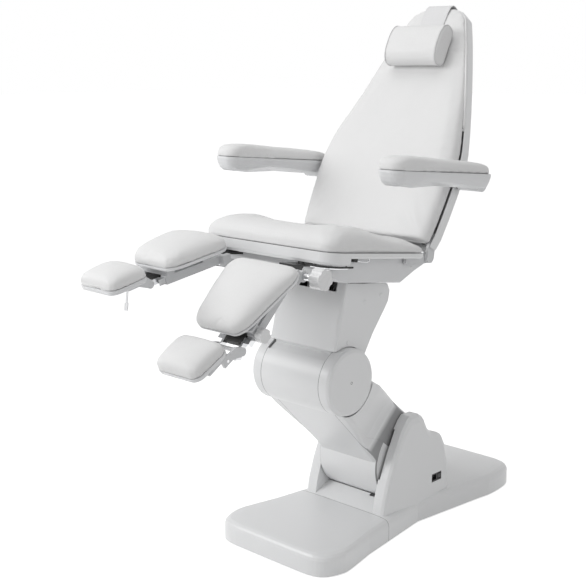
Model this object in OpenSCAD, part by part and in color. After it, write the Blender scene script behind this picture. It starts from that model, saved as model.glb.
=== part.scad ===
// Electric podiatry chair: a folding two-arm lift on a flat base, a tilting seat, a reclining back
// with fold-up armrests and a head pillow, and two separate leg rests with sliding, tilting foot pads.
// Millimetres. +Z is up, the chair faces -Y, +X is the sitter's left.
// The origin is the middle of the base plate's underside.

/* [Base] */
// Length of the base, front to back
base_len = 1080; // [900:10:1300]
// Width of the base at its front
base_front_w = 492; // [470:4:540]
// Width of the base behind the arm
base_rear_w = 428; // [400:4:480]
// Width of the base at its waist
base_waist_w = 340; // [336:2:360]
// Height of the base's upright rim
base_rim_h = 52; // [44:1:56]
// Height of the base's flat top
base_top_h = 76; // [70:1:86]
// Thickness of the steel base plate
plate_t = 10; // [6:1:16]
// Wall of every plastic cover
cover_wall = 4; // [3:0.5:6]
// Height of the lower pivot above the floor
low_pivot_z = 215; // [205:1:230]
// Distance of the lower pivot in front of the base's middle
low_pivot_y = 30; // [0:1:60]
// Distance between the outer faces of the two cheeks
cheek_span = 334; // [320:2:350]
// Distance between the inner faces of the two cheeks
cheek_gap = 244; // [240:1:256]

/* [Lift arms] */
// Length of the lower arm, pivot to pivot
low_arm_len = 454; // [420:1:480]
// Angle of the lower arm above the floor as stored
low_arm_angle = 47.5; // [40:0.5:52]
// Length of the upper arm, pivot to pivot
up_arm_len = 328; // [320:1:332]
// Angle of the upper arm above the floor as stored
up_arm_angle = 72; // [70:0.5:73]
// Radius of the round lower end of the arm between the cheeks
hub_r = 134; // [126:1:138]
// Radius of the knee drum
drum_r = 105; // [100:1:108]
// Width of the knee drum and of the lower arm between the cheeks
arm_w = 236; // [230:2:240]
// Width over the two knee discs
disc_span = 320; // [300:2:340]
// Width of the upper arm cover
up_arm_w = 270; // [250:2:280]
// Thickness of the arms' steel side plates
arm_plate_t = 8; // [6:1:10]
// Radius of the three lift shafts
shaft_r = 14; // [12:0.5:16]

/* [Drives] */
// Radius of the sprocket at the knee that turns the upper arm
knee_sprocket_r = 30; // [28:0.5:31]
// Radius of the levelling chain's sprocket at the knee
level_sprocket_r = 24; // [22:0.5:25]
// Width of the chains
chain_w = 12; // [9:1:14]
// Thickness of the chains
chain_t = 7; // [5:0.5:8]
// Distance from the lower pivot to each end of the lift actuator
lift_reach = 112; // [108:1:114]
// Radius of the lift actuator's tube
lift_tube_r = 15; // [12:0.5:16]
// Radius of the tilt drive's housing
tilt_drive_r = 17; // [14:0.5:18]
// Radius of the back drive's housing
back_drive_r = 15; // [12:0.5:16]

/* [Seat] */
// Width of the seat cushion
seat_w = 536; // [500:2:560]
// Length of the seat cushion
seat_len = 455; // [448:1:460]
// Height of the seat cushion's front roll above its seam
seat_crown = 84; // [60:1:90]
// How far the seat is tilted back as stored
seat_tilt = 7.2; // [4:0.2:10]
// Distance of the seat's front edge in front of the base's middle
seat_front = 555; // [540:1:570]
// Height of the seat's front seam
seat_seam_z = 984; // [975:1:995]
// Depth of the skirt under the front of the seat
skirt_h = 38; // [32:1:40]
// Depth of the thin rim along the sides
rim_h = 15; // [12:1:18]
// Width of the pan under the seat
pan_w = 440; // [420:2:460]
// Depth of the pan under the seat
pan_h = 92; // [88:1:96]

/* [Back] */
// Height of the back
back_len = 830; // [780:5:880]
// Width of the back at the elbows
back_w = 534; // [500:2:540]
// Width of the back near its top
back_top_w = 252; // [230:2:300]
// How far the back leans from upright as stored
back_lean = 28; // [24:0.5:32]
// Thickness of the back cushion
back_pad_t = 62; // [54:1:70]
// Thickness of the shell behind the back
back_shell_t = 44; // [38:1:48]
// Width of the head pillow
pillow_w = 250; // [220:2:280]
// Height of the head pillow
pillow_h = 135; // [120:1:150]
// Thickness of the head pillow
pillow_t = 82; // [70:1:90]
// Width of the strap over the top of the back
strap_w = 96; // [70:2:120]

/* [Armrests] */
// Length of an armrest
arm_rest_len = 478; // [450:2:490]
// Width of an armrest
arm_rest_w = 98; // [86:2:104]
// Height of an armrest's pad above its seam
arm_pad_h = 44; // [34:1:48]
// Height of an armrest's shell below its seam
arm_shell_h = 47; // [42:1:50]
// Gap between the back and each armrest
arm_gap = 9; // [8:0.5:14]

/* [Leg rests] */
// Distance of each leg rest's middle from the chair's middle
leg_x = 147; // [145:1:155]
// Length of a leg pad
leg_pad_len = 234; // [224:2:240]
// Width of a leg pad at its knee end
leg_pad_w = 268; // [250:2:274]
// Width of a leg pad at its foot end
leg_pad_foot_w = 184; // [170:2:200]
// Thickness of a leg pad
leg_pad_t = 62; // [50:1:70]
// How far the sitter's left leg rest points down as stored
left_leg_angle = 45; // [30:1:60]
// How far the sitter's right leg rest points down as stored
right_leg_angle = 10; // [5:1:20]
// How far the sitter's right leg rest is swung out as stored
right_leg_swing = 3; // [0:0.5:10]
// Length of a foot pad
foot_pad_len = 128; // [116:1:136]
// Width of a foot pad
foot_pad_w = 178; // [166:2:186]
// Thickness of a foot pad
foot_pad_t = 60; // [44:1:64]
// How far the left foot pad is raised from its leg rest
left_foot_raise = 13; // [5:1:20]
// How far the right foot pad drops from its leg rest
right_foot_drop = 3; // [0:1:12]

/* [Hidden] */
$fn = 64;
// Facets of the rounded covers' corners
soft_fn = 32;
// Points around a padded form
pad_n = 32;
// Overrun of every cut
cut = 1;
// Radial running clearance of pins in their bores
run_fit = 0.05;
// Gap between pieces that move past each other
gap = 3;
// Gap between soft pieces and what carries them
rest_gap = 0.3;

white = "#eceded";
pale = "#e2e4e6";
steel = "#9a9da0";
black = "#26272a";
chrome = "#c9cdd1";

// Points and turns in the side view, as [y, z]
function polar(r, a) = [r * cos(a), r * sin(a)];
function turned(p, a) = [p.x * cos(a) - p.y * sin(a), p.x * sin(a) + p.y * cos(a)];
function lerp(a, b, t) = a + (b - a) * t;
function smooth(t) = let (u = min(1, max(0, t))) u * u * (3 - 2 * u);
function power(v, p) = sign(v) * pow(abs(v), p);
function box_ring(w, l, r, n = 8) = [for (c = [0:3], k = [0:n - 1])
    let (a = 90 * c + 90 * k / (n - 1), sx = c == 0 || c == 3 ? 1 : -1, sy = c < 2 ? 1 : -1)
    [sx * (w - r) + r * cos(a), sy * (l - r) + r * sin(a)]];
function middle(ring) = [for (k = [0:2]) let (s = [for (p = ring) p[k]]) s * [for (v = s) 1] / len(ring)];

// The direction a ring of points turns round, as a vector
function facing(ring) =
    let (c = middle(ring), n = len(ring), t = [for (i = [0:n - 1]) cross(ring[i] - c, ring[(i + 1) % n] - c)])
    [for (k = [0:2]) let (s = [for (v = t) v[k]]) s * [for (v = s) 1]];
function flipped(ring) = [for (i = [len(ring) - 1:-1:0]) ring[i]];

// Closed surface through rings with equal numbers of points
module skin(given) {
    n = len(given[0]);
    m = len(given);
    rings = facing(given[0]) * (middle(given[m - 1]) - middle(given[0])) > 0 ? given : [for (ring = given) flipped(ring)];
    sides = [for (k = [0:m - 2], i = [0:n - 1])
        let (a = k * n + i, b = k * n + (i + 1) % n, c = b + n, d = a + n)
        each [[a, d, c], [a, c, b]]];
    low = [for (i = [0:n - 1]) [n * m, i, (i + 1) % n]];
    high = [for (i = [0:n - 1]) [n * m + 1, (m - 1) * n + (i + 1) % n, (m - 1) * n + i]];
    polyhedron(
        concat([for (ring = rings) each ring], [middle(rings[0]), middle(rings[m - 1])]),
        concat(sides, low, high), convexity = 6);
}

// A flat side-view shape made solid from x0 to x1
module slab(x0, x1) {
    translate([x0, 0, 0])
        rotate([90, 0, 90])
            linear_extrude(x1 - x0) children();
}

// A side-view shape repeated at plus and minus x
module slab_pair(x0, x1) {
    slab(x0, x1) children();
    slab(-x1, -x0) children();
}

// A round bar along X through the point p
module bar(p, r, x0, x1) {
    translate([x0, p.x, p.y])
        rotate([0, 90, 0])
            cylinder(r = r, h = x1 - x0);
}

// A bar with a bore
module bush(p, r, bore, x0, x1) {
    difference() {
        bar(p, r, x0, x1);
        bar(p, bore, x0 - cut, x1 + cut);
    }
}

// Straight-sided shape around two circles, as a belt lies on two wheels
module belt_shape(p, rp, q, rq) {
    d = norm(q - p);
    a = atan2(q.y - p.y, q.x - p.x);
    lean = acos((rp - rq) / d);
    translate(p) circle(r = rp);
    translate(q) circle(r = rq);
    polygon([p + polar(rp, a + lean), q + polar(rq, a + lean), q + polar(rq, a - lean), p + polar(rp, a - lean)]);
}

// A toothed wheel with square-cut teeth under the chain
module sprocket(p, r, bore, x, teeth) {
    difference() {
        bar(p, r, x - chain_w / 2, x + chain_w / 2);
        bar(p, bore, x - chain_w, x + chain_w);
        for (i = [0:teeth - 1])
            translate([x, p.x, p.y])
                rotate([i * 360 / teeth, 0, 0])
                    translate([-chain_w, -chain_t / 4, r - chain_t / 2])
                        cube([2 * chain_w, chain_t / 2, chain_t]);
    }
}

// A chain lying on two wheels with a running gap
function belt_line(p, rp, q, rq) =
    let (a = atan2(q.y - p.y, q.x - p.x), lean = acos((rp - rq) / norm(q - p)), n = 28)
    concat([for (k = [0:n]) p + polar(rp, a + lerp(lean, 360 - lean, k / n))],
        [for (k = [0:n]) q + polar(rq, a + lerp(-lean, lean, k / n))]);
module chain_loop(p, rp, q, rq, x) {
    slab(x - chain_w / 2, x + chain_w / 2)
        difference() {
            polygon(belt_line(p, rp + rest_gap * 2 + chain_t, q, rq + rest_gap * 2 + chain_t));
            polygon(belt_line(p, rp + rest_gap * 2, q, rq + rest_gap * 2));
        }
}

// The lift's pivots in the side view
low_pivot = [-low_pivot_y, low_pivot_z];
knee = low_pivot + polar(low_arm_len, 180 - low_arm_angle);
top_pivot = knee + polar(up_arm_len, up_arm_angle);
half_arm = arm_w / 2;
half_disc = disc_span / 2;
half_up = up_arm_w / 2;

// The lift actuator spans equal distances from the pivot, so it stays straight as the arm turns
lift_low_angle = -30;
lift_high_angle = 70;
lift_low = low_pivot + polar(lift_reach, lift_low_angle);
lift_high = low_pivot + polar(lift_reach, lift_high_angle);
lift_x = -36;
lift_pin_r = lift_tube_r / 2;
lift_rod_r = lift_tube_r * 0.6;
lift_line = atan2(lift_high.y - lift_low.y, lift_high.x - lift_low.x);
lift_span = norm(lift_high - lift_low);

// The fixed sprocket in the base is twice the one at the knee, so the upper arm folds twice as far
base_sprocket_r = 2 * knee_sprocket_r;
top_sprocket_r = 2 * level_sprocket_r;
drive_x = 37;
level_x = -drive_x;

// The lower arm's frame and covers
low_plate_x = 88;
up_plate_x = 62;
hub_tube_r = shaft_r + 10;
seam_share = 0.36;

// The cheeks, as shares of their length and height
cheek_front = low_pivot_y + 153;
cheek_len = 361;
cheek_h = 297;
cheek_foot = base_rim_h * 0.8;
cheek_shares = [
    [-0.005, 0], [0.004, 0.1], [0.03, 0.24], [0.09, 0.44], [0.18, 0.66], [0.28, 0.86], [0.345, 0.955], [0.4, 1], [0.52, 1],
    [0.585, 0.955], [0.655, 0.82], [0.71, 0.77], [0.82, 0.73], [0.88, 0.69], [0.93, 0.595], [0.965, 0.425], [1, 0.1], [1.02, 0]
];
side_plate_t = 8;
side_plate_x = cheek_gap / 2 + cover_wall + 2;
side_plate_r = 46;

// The base outline's places, as shares of its length
waist_start_share = -0.41;
waist_share = 0.0;
waist_end_share = 0.1;
rear_share = 0.36;
base_square = 8;
base_n = 64;
cover_lift = 3;
front_seam_y = -(low_pivot_y + 157);

function base_half(y) =
    let (t = y / base_len,
        u = min(1, max(0, (waist_share - t) / (waist_share - waist_start_share))),
        front = lerp(base_waist_w, base_front_w, pow(u, 1.6)),
        rear = (base_rear_w - base_waist_w) * smooth((t - waist_end_share) / (rear_share - waist_end_share)))
    (front + rear) / 2;

// One ring of the base at the height z, drawn in by inset
function base_ring(inset, z) = [for (i = [0:base_n - 1])
    let (t = 360 * i / base_n, y = base_len / 2 * power(sin(t), 2 / base_square),
        w = base_half(y) * power(cos(t), 2 / base_square))
    [w * (1 - inset / base_half(y)), y * (1 - 2 * inset / base_len), z]];

module base_form(inset, drop) {
    step = base_top_h - base_rim_h;
    skin([
        base_ring(inset, cover_lift - drop),
        base_ring(inset, base_rim_h - drop),
        base_ring(inset + step * 0.1, base_rim_h + step * 0.36 - drop),
        base_ring(inset + step * 0.3, base_rim_h + step * 0.64 - drop),
        base_ring(inset + step * 0.65, base_rim_h + step * 0.84 - drop),
        base_ring(inset + step * 1.6, base_rim_h + step * 0.95 - drop),
        base_ring(inset + step * 3.4, base_top_h - drop)
    ]);
}

function cheek_point(p, inset) =
    let (c = 0.5, k = 1 - 2 * inset / cheek_h, y = c + (p.x - c) * (1 - 2 * inset / cheek_len))
    [-cheek_front + cheek_len * y, cheek_foot + (base_top_h + cheek_h - cheek_foot) * p.y * k];

function cheek_ring(x, inset) = [for (p = cheek_shares)
    let (q = cheek_point(p, inset)) [x, q.x, q.y]];

module cheek_form(inset, round) {
    skin([
        cheek_ring(cheek_gap / 2 + inset, inset),
        cheek_ring(cheek_span / 2 - round - inset, inset),
        cheek_ring(cheek_span / 2 - round * 0.3 - inset, inset + round * 0.35),
        cheek_ring(cheek_span / 2 - inset, inset + round)
    ]);
}

// The block between the cheeks: a ramp in front of the arm's hub and a hood behind it
ramp_angle = 233;
hood_angle = 52;
module between_shape(inset) {
    r = hub_r + gap + inset;
    ramp = low_pivot + polar(hub_r + gap, ramp_angle);
    difference() {
        union() {
            polygon([
                [-cheek_front + inset, base_top_h - cover_wall / 2 - 2 * inset],
                [-cheek_front + inset, base_top_h - inset + 1],
                [ramp.x, ramp.y - inset],
                [low_pivot.x, ramp.y - inset],
                [low_pivot.x, base_top_h - cover_wall / 2 - 2 * inset]
            ]);
            intersection() {
                polygon([for (p = cheek_shares) cheek_point(p, inset)]);
                translate([low_pivot.x, base_top_h - cover_wall / 2 - 2 * inset])
                    square([cheek_len, (low_pivot.y - base_top_h) + (hub_r + gap) * sin(hood_angle) + inset]);
            }
        }
        translate(low_pivot) circle(r = r);
    }
}

module base_plate() {
    color(steel) {
        difference() {
            skin([base_ring(cover_wall + gap, 0), base_ring(cover_wall + gap, plate_t)]);
            for (x = [-1, 1], y = [-1, 1])
                translate([x * base_waist_w * foot_x_share, y * base_len * foot_y_share, -cut])
                    cylinder(r = foot_r, h = plate_t + 2 * cut);
        }
        difference() {
            slab_pair(side_plate_x, side_plate_x + side_plate_t) {
                translate(low_pivot) circle(r = side_plate_r);
                polygon([
                    [low_pivot.x - side_plate_r * 2.2, plate_t - cut],
                    low_pivot - [side_plate_r, 0],
                    low_pivot + [side_plate_r * 0.8, side_plate_r * 0.6],
                    lift_low + [side_plate_r * 0.4, 0],
                    [lift_low.x + side_plate_r, plate_t - cut]
                ]);
            }
            bar(low_pivot, shaft_r, -cheek_span, cheek_span);
        }
        bar(lift_low, lift_pin_r, -side_plate_x - cut, side_plate_x + cut);
    }
}

module base_cover_front() {
    color(white)
        intersection() {
            difference() {
                base_form(0, 0);
                base_form(cover_wall, cover_wall);
            }
            translate([-base_front_w, -base_len, 0])
                cube([2 * base_front_w, base_len + front_seam_y - rest_gap, 2 * base_top_h]);
        }
}

module base_cover_rear() {
    color(white)
        difference() {
            union() {
                intersection() {
                    base_form(0, 0);
                    translate([-base_front_w, front_seam_y, 0])
                        cube([2 * base_front_w, base_len, 2 * base_top_h]);
                }
                cheek_form(0, cheek_round);
                mirror([1, 0, 0]) cheek_form(0, cheek_round);
                slab(-cheek_gap / 2 - cut, cheek_gap / 2 + cut) between_shape(0);
            }
            intersection() {
                base_form(cover_wall, cover_wall);
                translate([-base_front_w, front_seam_y - cut, -cut])
                    cube([2 * base_front_w, base_len, 2 * base_top_h]);
            }
            translate([0, 0, -cover_wall]) {
                cheek_form(cover_wall, cheek_round);
                mirror([1, 0, 0]) cheek_form(cover_wall, cheek_round);
            }
            slab(-cheek_gap / 2, cheek_gap / 2) between_shape(cover_wall);
            bar(low_pivot, hub_r + gap, -cheek_gap / 2, cheek_gap / 2);
            bar(low_pivot, hub_r + 4 * gap, cheek_gap / 2 - inlet_w - 2 * cover_wall, cheek_gap / 2 - 2 * cover_wall);
            bar(low_pivot, hub_r - lift_pin_r, -side_plate_x, side_plate_x);
            translate([cheek_span / 2 - cheek_round, inlet_y - inlet_w / 2, inlet_z - inlet_h / 2])
                cube([2 * cheek_round, inlet_w, inlet_h]);
        }
}
cheek_round = 12;

// The power inlet in the left cheek, and its rocker switch
inlet_y = 105;
inlet_z = 130;
inlet_w = 54;
inlet_h = 29;
inlet_depth = 30;
switch_w = 18;
foot_x_share = 0.36;
foot_y_share = 0.42;
foot_r = 9;

module power_inlet() {
    x = cheek_span / 2 - 1;
    color(black) {
        difference() {
            translate([x - inlet_depth, inlet_y - inlet_w / 2 + rest_gap, inlet_z - inlet_h / 2 + rest_gap])
                cube([inlet_depth, inlet_w - 2 * rest_gap, inlet_h - 2 * rest_gap]);
            translate([x - inlet_depth * 0.6, inlet_y - inlet_w / 2 + 3 * rest_gap + 2, inlet_z - inlet_h * 0.32])
                cube([inlet_depth, inlet_w * 0.44, inlet_h * 0.64]);
            translate([x - inlet_depth * 0.4, inlet_y + inlet_w * 0.1, inlet_z - inlet_h * 0.36])
                cube([inlet_depth, switch_w + 2 * rest_gap + inlet_w * 0.02, inlet_h * 0.72]);
        }
    }
    color(chrome)
        for (k = [-1, 0, 1])
            translate([x - inlet_depth * 0.7, inlet_y - inlet_w * 0.24 + k * inlet_w * 0.11, inlet_z])
                rotate([0, 90, 0]) cylinder(r = inlet_h / 20, h = inlet_depth * 0.5);
}

switch_y = inlet_y + inlet_w * 0.11 + rest_gap + switch_w / 2;
module power_switch() {
    x = cheek_span / 2 - 1;
    color(black)
        translate([x - inlet_depth * 0.16, switch_y - switch_w / 2 + rest_gap, inlet_z])
            intersection() {
                translate([-inlet_depth * 0.14, 0, -inlet_h * 0.3])
                    cube([inlet_depth * 0.32, switch_w - 2 * rest_gap, inlet_h * 0.6]);
                rotate([-90, 0, 0]) cylinder(r = inlet_h * 0.3, h = switch_w);
            }
}

module lower_shaft() {
    color(steel) {
        bar(low_pivot, shaft_r, -side_plate_x - side_plate_t - 2, side_plate_x + side_plate_t + 2);
        sprocket(low_pivot, base_sprocket_r, shaft_r - cut, drive_x, 24);
    }
}

// The arms' outlines, as shares of each arm's length along it and towards its upper side
low_top_shares = [[0.918, 0.105], [0.735, 0.181], [0.531, 0.224], [0.319, 0.256]];
low_under_shares = [[0.818, -0.195], [0.57, -0.185], [0.313, -0.179], [0.232, -0.182]];
low_seam_shares = [[0.847, -0.165], [0.654, -0.153], [0.504, -0.13], [0.319, -0.039]];
up_shares = [
    [0.245, -0.234], [0.566, -0.256], [0.887, -0.277], [0.93, -0.054], [0.985, 0.2],
    [0.982, 0.335], [0.929, 0.39], [0.83, 0.402], [0.752, 0.378], [0.483, 0.271], [0.166, 0.176]
];
low_turn = 180 - low_arm_angle;
function on_low(p) = low_pivot + low_arm_len * turned([p.x, -p.y], low_turn);
function on_up(p) = knee + up_arm_len * turned([p.x, -p.y], up_arm_angle);

// Half-width of the lower arm's side covers at a share of its length
function low_half(s) = lerp(half_arm + 0.5, half_disc, smooth((s - 0.34) / 0.5));
low_steps = [0.2, 0.3, 0.4, 0.5, 0.6, 0.7, 0.8, 0.9];
function along(shares, s, k = 0) =
    k >= len(shares) - 2 || shares[k + 1].x < s
        ? lerp(shares[k].y, shares[k + 1].y, (s - shares[k].x) / (shares[k + 1].x - shares[k].x))
        : along(shares, s, k + 1);
function low_section(s, inset) =
    let (w = low_half(s) - inset, top = along(low_top_shares, s) - inset / low_arm_len,
        under = along(low_under_shares, s) + inset / low_arm_len,
        m = (top + under) / 2, h = (top - under) / 2)
    [for (b = box_ring(w, h * low_arm_len, 3 * cover_wall))
        let (q = on_low([s, m + b.y / low_arm_len])) [b.x, q.x, q.y]];

module low_body(inset) skin([for (s = low_steps) low_section(s, inset)]);

// The side view's split between the side covers and the front cover
module above_seam(grow) {
    polygon(concat(
        [knee - [2 * drum_r, 2 * drum_r * 0.48]],
        [for (p = low_seam_shares) on_low([p.x, p.y - grow / low_arm_len])],
        [low_pivot + polar(hub_r * 0.3, 130), low_pivot + polar(2 * hub_r, 38),
         knee + [4 * drum_r, 0], knee + [4 * drum_r, 2 * drum_r], knee + [-2 * drum_r, 2 * drum_r]]
    ));
}

// The hollow body of the lower arm with its round hub
module low_tube() {
    difference() {
        union() {
            low_body(0);
            bar(low_pivot, hub_r, -half_arm, half_arm);
        }
        low_body(cover_wall);
        bar(low_pivot, hub_r - cover_wall, -half_arm + cover_wall, half_arm - cover_wall);
    }
}

module side_cover() {
    difference() {
        intersection() {
            union() {
                disc_cap();
                difference() {
                    low_tube();
                    bar(knee, drum_r - rest_gap, -half_disc * 2, half_disc * 2);
                }
            }
            slab(rest_gap / 2, 2 * half_disc) above_seam(0);
        }
        // Room for the knee drum and the upper arm behind it
        slab(-half_arm, half_arm) {
            translate(knee) circle(r = drum_r + gap);
            polygon([knee, on_low([0.95, 0.4]), on_low([0.7, 0.4]), on_low([0.7, 0.1])]);
        }
        slab_pair(half_arm - cut, half_up + gap)
            difference() {
                polygon([for (p = [[0.82, 0.095], [0.72, 0.145], [0.69, 0.3], [0.9, 0.3]]) on_low(p)]);
                translate(knee) circle(r = drum_r);
            }
    }
}

module disc_cap() {
    difference() {
        translate([half_arm + rest_gap, knee.x, knee.y])
            rotate([0, 90, 0])
                rotate_extrude()
                    polygon([
                        [0, half_disc - half_arm - cover_wall], [drum_r - cover_wall * 2, half_disc - half_arm - cover_wall],
                        [drum_r - cover_wall, half_disc - half_arm - cover_wall * 2], [drum_r - cover_wall, 0],
                        [drum_r, 0], [drum_r, half_disc - half_arm - disc_round],
                        [drum_r - disc_round * 0.3, half_disc - half_arm - disc_round * 0.3],
                        [drum_r - disc_round, half_disc - half_arm], [0, half_disc - half_arm]
                    ]);
        low_body(cover_wall);
    }
}
disc_round = 12;

module lower_arm_cover_left() {
    color(white) side_cover();
}

module lower_arm_cover_right() {
    color(white) mirror([1, 0, 0]) side_cover();
}

drum_start = 134;
drum_end = 260;
module sector(p, r, a0, a1) {
    polygon(concat([p], [for (k = [0:12]) p + polar(2 * r, lerp(a0, a1, k / 12))]));
}

module lower_arm_front_cover() {
    color(white) {
        slab(-half_arm, half_arm)
            intersection() {
                difference() {
                    translate(knee) circle(r = drum_r);
                    translate(knee) circle(r = drum_r - cover_wall);
                }
                sector(knee, drum_r, drum_start, drum_end);
            }
        difference() {
            low_tube();
            bar(knee, drum_r - cover_wall / 2, -half_arm, half_arm);
            bar(low_pivot, hub_r - 2 * cover_wall, -arm_w, arm_w);
            bar(knee, drum_r + rest_gap, half_arm, 2 * half_disc);
            bar(knee, drum_r + rest_gap, -2 * half_disc, -half_arm);
            slab(-2 * half_disc, 2 * half_disc) above_seam(rest_gap);
        }
    }
}

lever_gap = lift_tube_r + 2;
lever_t = 7;
module lower_arm_frame() {
    color(steel)
        difference() {
            union() {
                slab_pair(low_plate_x, low_plate_x + arm_plate_t) {
                    belt_shape(low_pivot, 3 * shaft_r, knee, 2.4 * shaft_r);
                }
                bar(low_pivot, hub_tube_r, -low_plate_x - cut, drive_x - chain_w - cut);
                bar(low_pivot, hub_tube_r, drive_x + chain_w + cut, low_plate_x + cut);
                for (x = [lift_x - lever_gap - lever_t, lift_x + lever_gap])
                    slab(x, x + lever_t) belt_shape(low_pivot, 2 * shaft_r, lift_high, lift_pin_r * 2);
                bar(lift_high, lift_pin_r, lift_x - lever_gap - lever_t, lift_x + lever_gap + lever_t);
                for (s = [0.36, 0.72])
                    bar(on_low([s, 0]), shaft_r * 0.8, -low_plate_x - cut, low_plate_x + cut);
            }
            bar(low_pivot, shaft_r + run_fit, -arm_w, arm_w);
            bar(knee, shaft_r, -arm_w, arm_w);
        }
}

module lift_chain() {
    color(steel) chain_loop(low_pivot, base_sprocket_r, knee, knee_sprocket_r, drive_x);
}

module knee_shaft() {
    color(steel) {
        bar(knee, shaft_r, -low_plate_x - arm_plate_t - 2, low_plate_x + arm_plate_t + 2);
        sprocket(knee, level_sprocket_r, shaft_r - cut, level_x, 12);
    }
}

// The lift actuator: a tube on the base and a rod on the lower arm's lever
module drive_tube(p, angle, x, r, eye, len) {
    translate([x, p.x, p.y])
        rotate([angle, 0, 0]) {
            difference() {
                union() {
                    rotate([0, 90, 0]) cylinder(r = eye * 2, h = 2 * r, center = true);
                    translate([0, eye, 0]) rotate([-90, 0, 0]) cylinder(r = r, h = len - eye);
                }
                rotate([0, 90, 0]) cylinder(r = eye + run_fit, h = 4 * r, center = true);
                translate([0, eye * 2 + r * 0.4, 0])
                    rotate([-90, 0, 0]) cylinder(r = r * 0.6 + run_fit, h = len);
            }
        }
}

module drive_rod(p, angle, x, r, eye, len) {
    translate([x, p.x, p.y])
        rotate([angle, 0, 0])
            difference() {
                union() {
                    rotate([0, 90, 0]) cylinder(r = eye * 1.8, h = 1.6 * r, center = true);
                    translate([0, eye, 0]) rotate([-90, 0, 0]) cylinder(r = r * 0.6, h = len - eye);
                }
                rotate([0, 90, 0]) cylinder(r = eye + run_fit, h = 4 * r, center = true);
            }
}

module lift_motor() {
    color(steel) drive_tube(lift_low, lift_line, lift_x, lift_tube_r, lift_pin_r, lift_span * 0.74);
}

module lift_rod() {
    color(chrome) drive_rod(lift_high, lift_line + 180, lift_x, lift_tube_r, lift_pin_r, lift_span * 0.7);
}

// Upper arm
up_round = 12;
function up_ring(x, inset) =
    let (ring = [for (p = up_shares) on_up(p)], c = [for (k = [0, 1]) middle2(ring, k)])
    [for (p = ring) let (d = c - p, q = p + d * (inset / norm(d))) [x, q.x, q.y]];
function middle2(ring, k) = let (s = [for (p = ring) p[k]]) s * [for (v = s) 1] / len(ring);

module up_form(inset) skin([
    up_ring(-half_up + inset, inset + up_round * 0.7),
    up_ring(-half_up + up_round * 0.3 + inset, inset + up_round * 0.2),
    up_ring(-half_up + up_round + inset, inset),
    up_ring(half_up - up_round - inset, inset),
    up_ring(half_up - up_round * 0.3 - inset, inset + up_round * 0.2),
    up_ring(half_up - inset, inset + up_round * 0.7)
]);

notch_x = 100;
module upper_arm_cover() {
    inner = drum_r - cover_wall - gap;
    color(white) {
        difference() {
            up_form(0);
            difference() {
                up_form(cover_wall);
                slab_pair(up_plate_x + arm_plate_t, up_plate_x + arm_plate_t + cover_wall)
                    belt_shape(on_up([0.5, -0.24]), arm_plate_t, on_up([0.5, 0.265]), arm_plate_t);
            }
            bar(knee, drum_r + gap * 0.7, -up_arm_w, up_arm_w);
            slab(-half_up + 2 * cover_wall, half_up - 2 * cover_wall)
                polygon([for (p = [[0.9, -0.2], [0.9, 0.3], [1.2, 0.3], [1.2, -0.2]]) on_up(p)]);
            slab(-notch_x, notch_x)
                polygon([for (p = [[0.785, -0.4], [0.785, 0], [1.2, 0], [1.2, -0.4]]) on_up(p)]);
        }
        // The visor that closes the knee as the arm folds
        slab(-half_arm + gap, half_arm - gap)
            difference() {
                intersection() {
                    union() {
                        translate(knee) circle(r = inner);
                        polygon([knee + polar(inner - cut, 106), knee + polar(drum_r * 1.13, 106), knee + polar(drum_r * 1.07, 113), knee + polar(inner - cut, 114)]);
                    }
                    sector(knee, drum_r, 98, 196);
                }
                translate(knee) circle(r = inner - cover_wall);
            }
    }
}

module upper_arm_frame() {
    color(steel)
        difference() {
            union() {
                slab_pair(up_plate_x, up_plate_x + arm_plate_t)
                    belt_shape(knee, 2.4 * shaft_r, top_pivot, 2.1 * shaft_r);
                for (p = [knee, top_pivot]) {
                    bar(p, hub_tube_r, -up_plate_x - arm_plate_t, level_x - chain_w);
                    bar(p, hub_tube_r, level_x + chain_w, up_plate_x + arm_plate_t);
                }
                bar(on_up([0.5, 0]), shaft_r * 0.8, -up_plate_x - cut, up_plate_x + cut);
            }
            bar(knee, shaft_r + run_fit, -arm_w, arm_w);
            bar(top_pivot, shaft_r + run_fit, -arm_w, arm_w);
        }
}

module knee_sprocket() {
    color(steel) sprocket(knee, knee_sprocket_r, hub_tube_r, drive_x, 12);
}

module level_chain() {
    color(steel) chain_loop(knee, level_sprocket_r, top_pivot, top_sprocket_r, level_x);
}

// The carrier on top of the arm, with the tilt pivot at its front
tilt_pin_r = 8;
tilt_reach = 110;
tilt_spread = 140;
tilt_pivot = top_pivot + [-95, 8];
tilt_low = tilt_pivot + polar(tilt_reach, 90 + tilt_spread / 2);
tilt_high = tilt_pivot + polar(tilt_reach, 90 - tilt_spread / 2);
tilt_span = norm(tilt_high - tilt_low);
carrier_x = up_plate_x + arm_plate_t + 4;
carrier_t = 8;
lug_x = carrier_x + carrier_t + 3;
lug_t = 8;

module seat_carrier() {
    color(black) {
        difference() {
            slab_pair(carrier_x, carrier_x + carrier_t) {
                belt_shape(top_pivot, 2.1 * shaft_r, tilt_pivot, 1.5 * tilt_pin_r);
                belt_shape(tilt_pivot, 1.5 * tilt_pin_r, tilt_pivot + [0, 4.6 * tilt_pin_r], tilt_pin_r);
                belt_shape(tilt_pivot + [0, 4.6 * tilt_pin_r], tilt_pin_r, tilt_low, tilt_pin_r * 1.4);
            }
            bar(top_pivot, shaft_r, -arm_w, arm_w);
        }
        bar(tilt_pivot, tilt_pin_r, -lug_x - lug_t - 2, lug_x + lug_t + 2);
        bar(tilt_low, tilt_pin_r * 0.8, -carrier_x - cut, carrier_x + cut);
    }
}

module seat_shaft() {
    color(steel) {
        bar(top_pivot, shaft_r, -carrier_x - carrier_t - 2, carrier_x + carrier_t + 2);
        sprocket(top_pivot, top_sprocket_r, shaft_r - cut, level_x, 20);
    }
}

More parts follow.
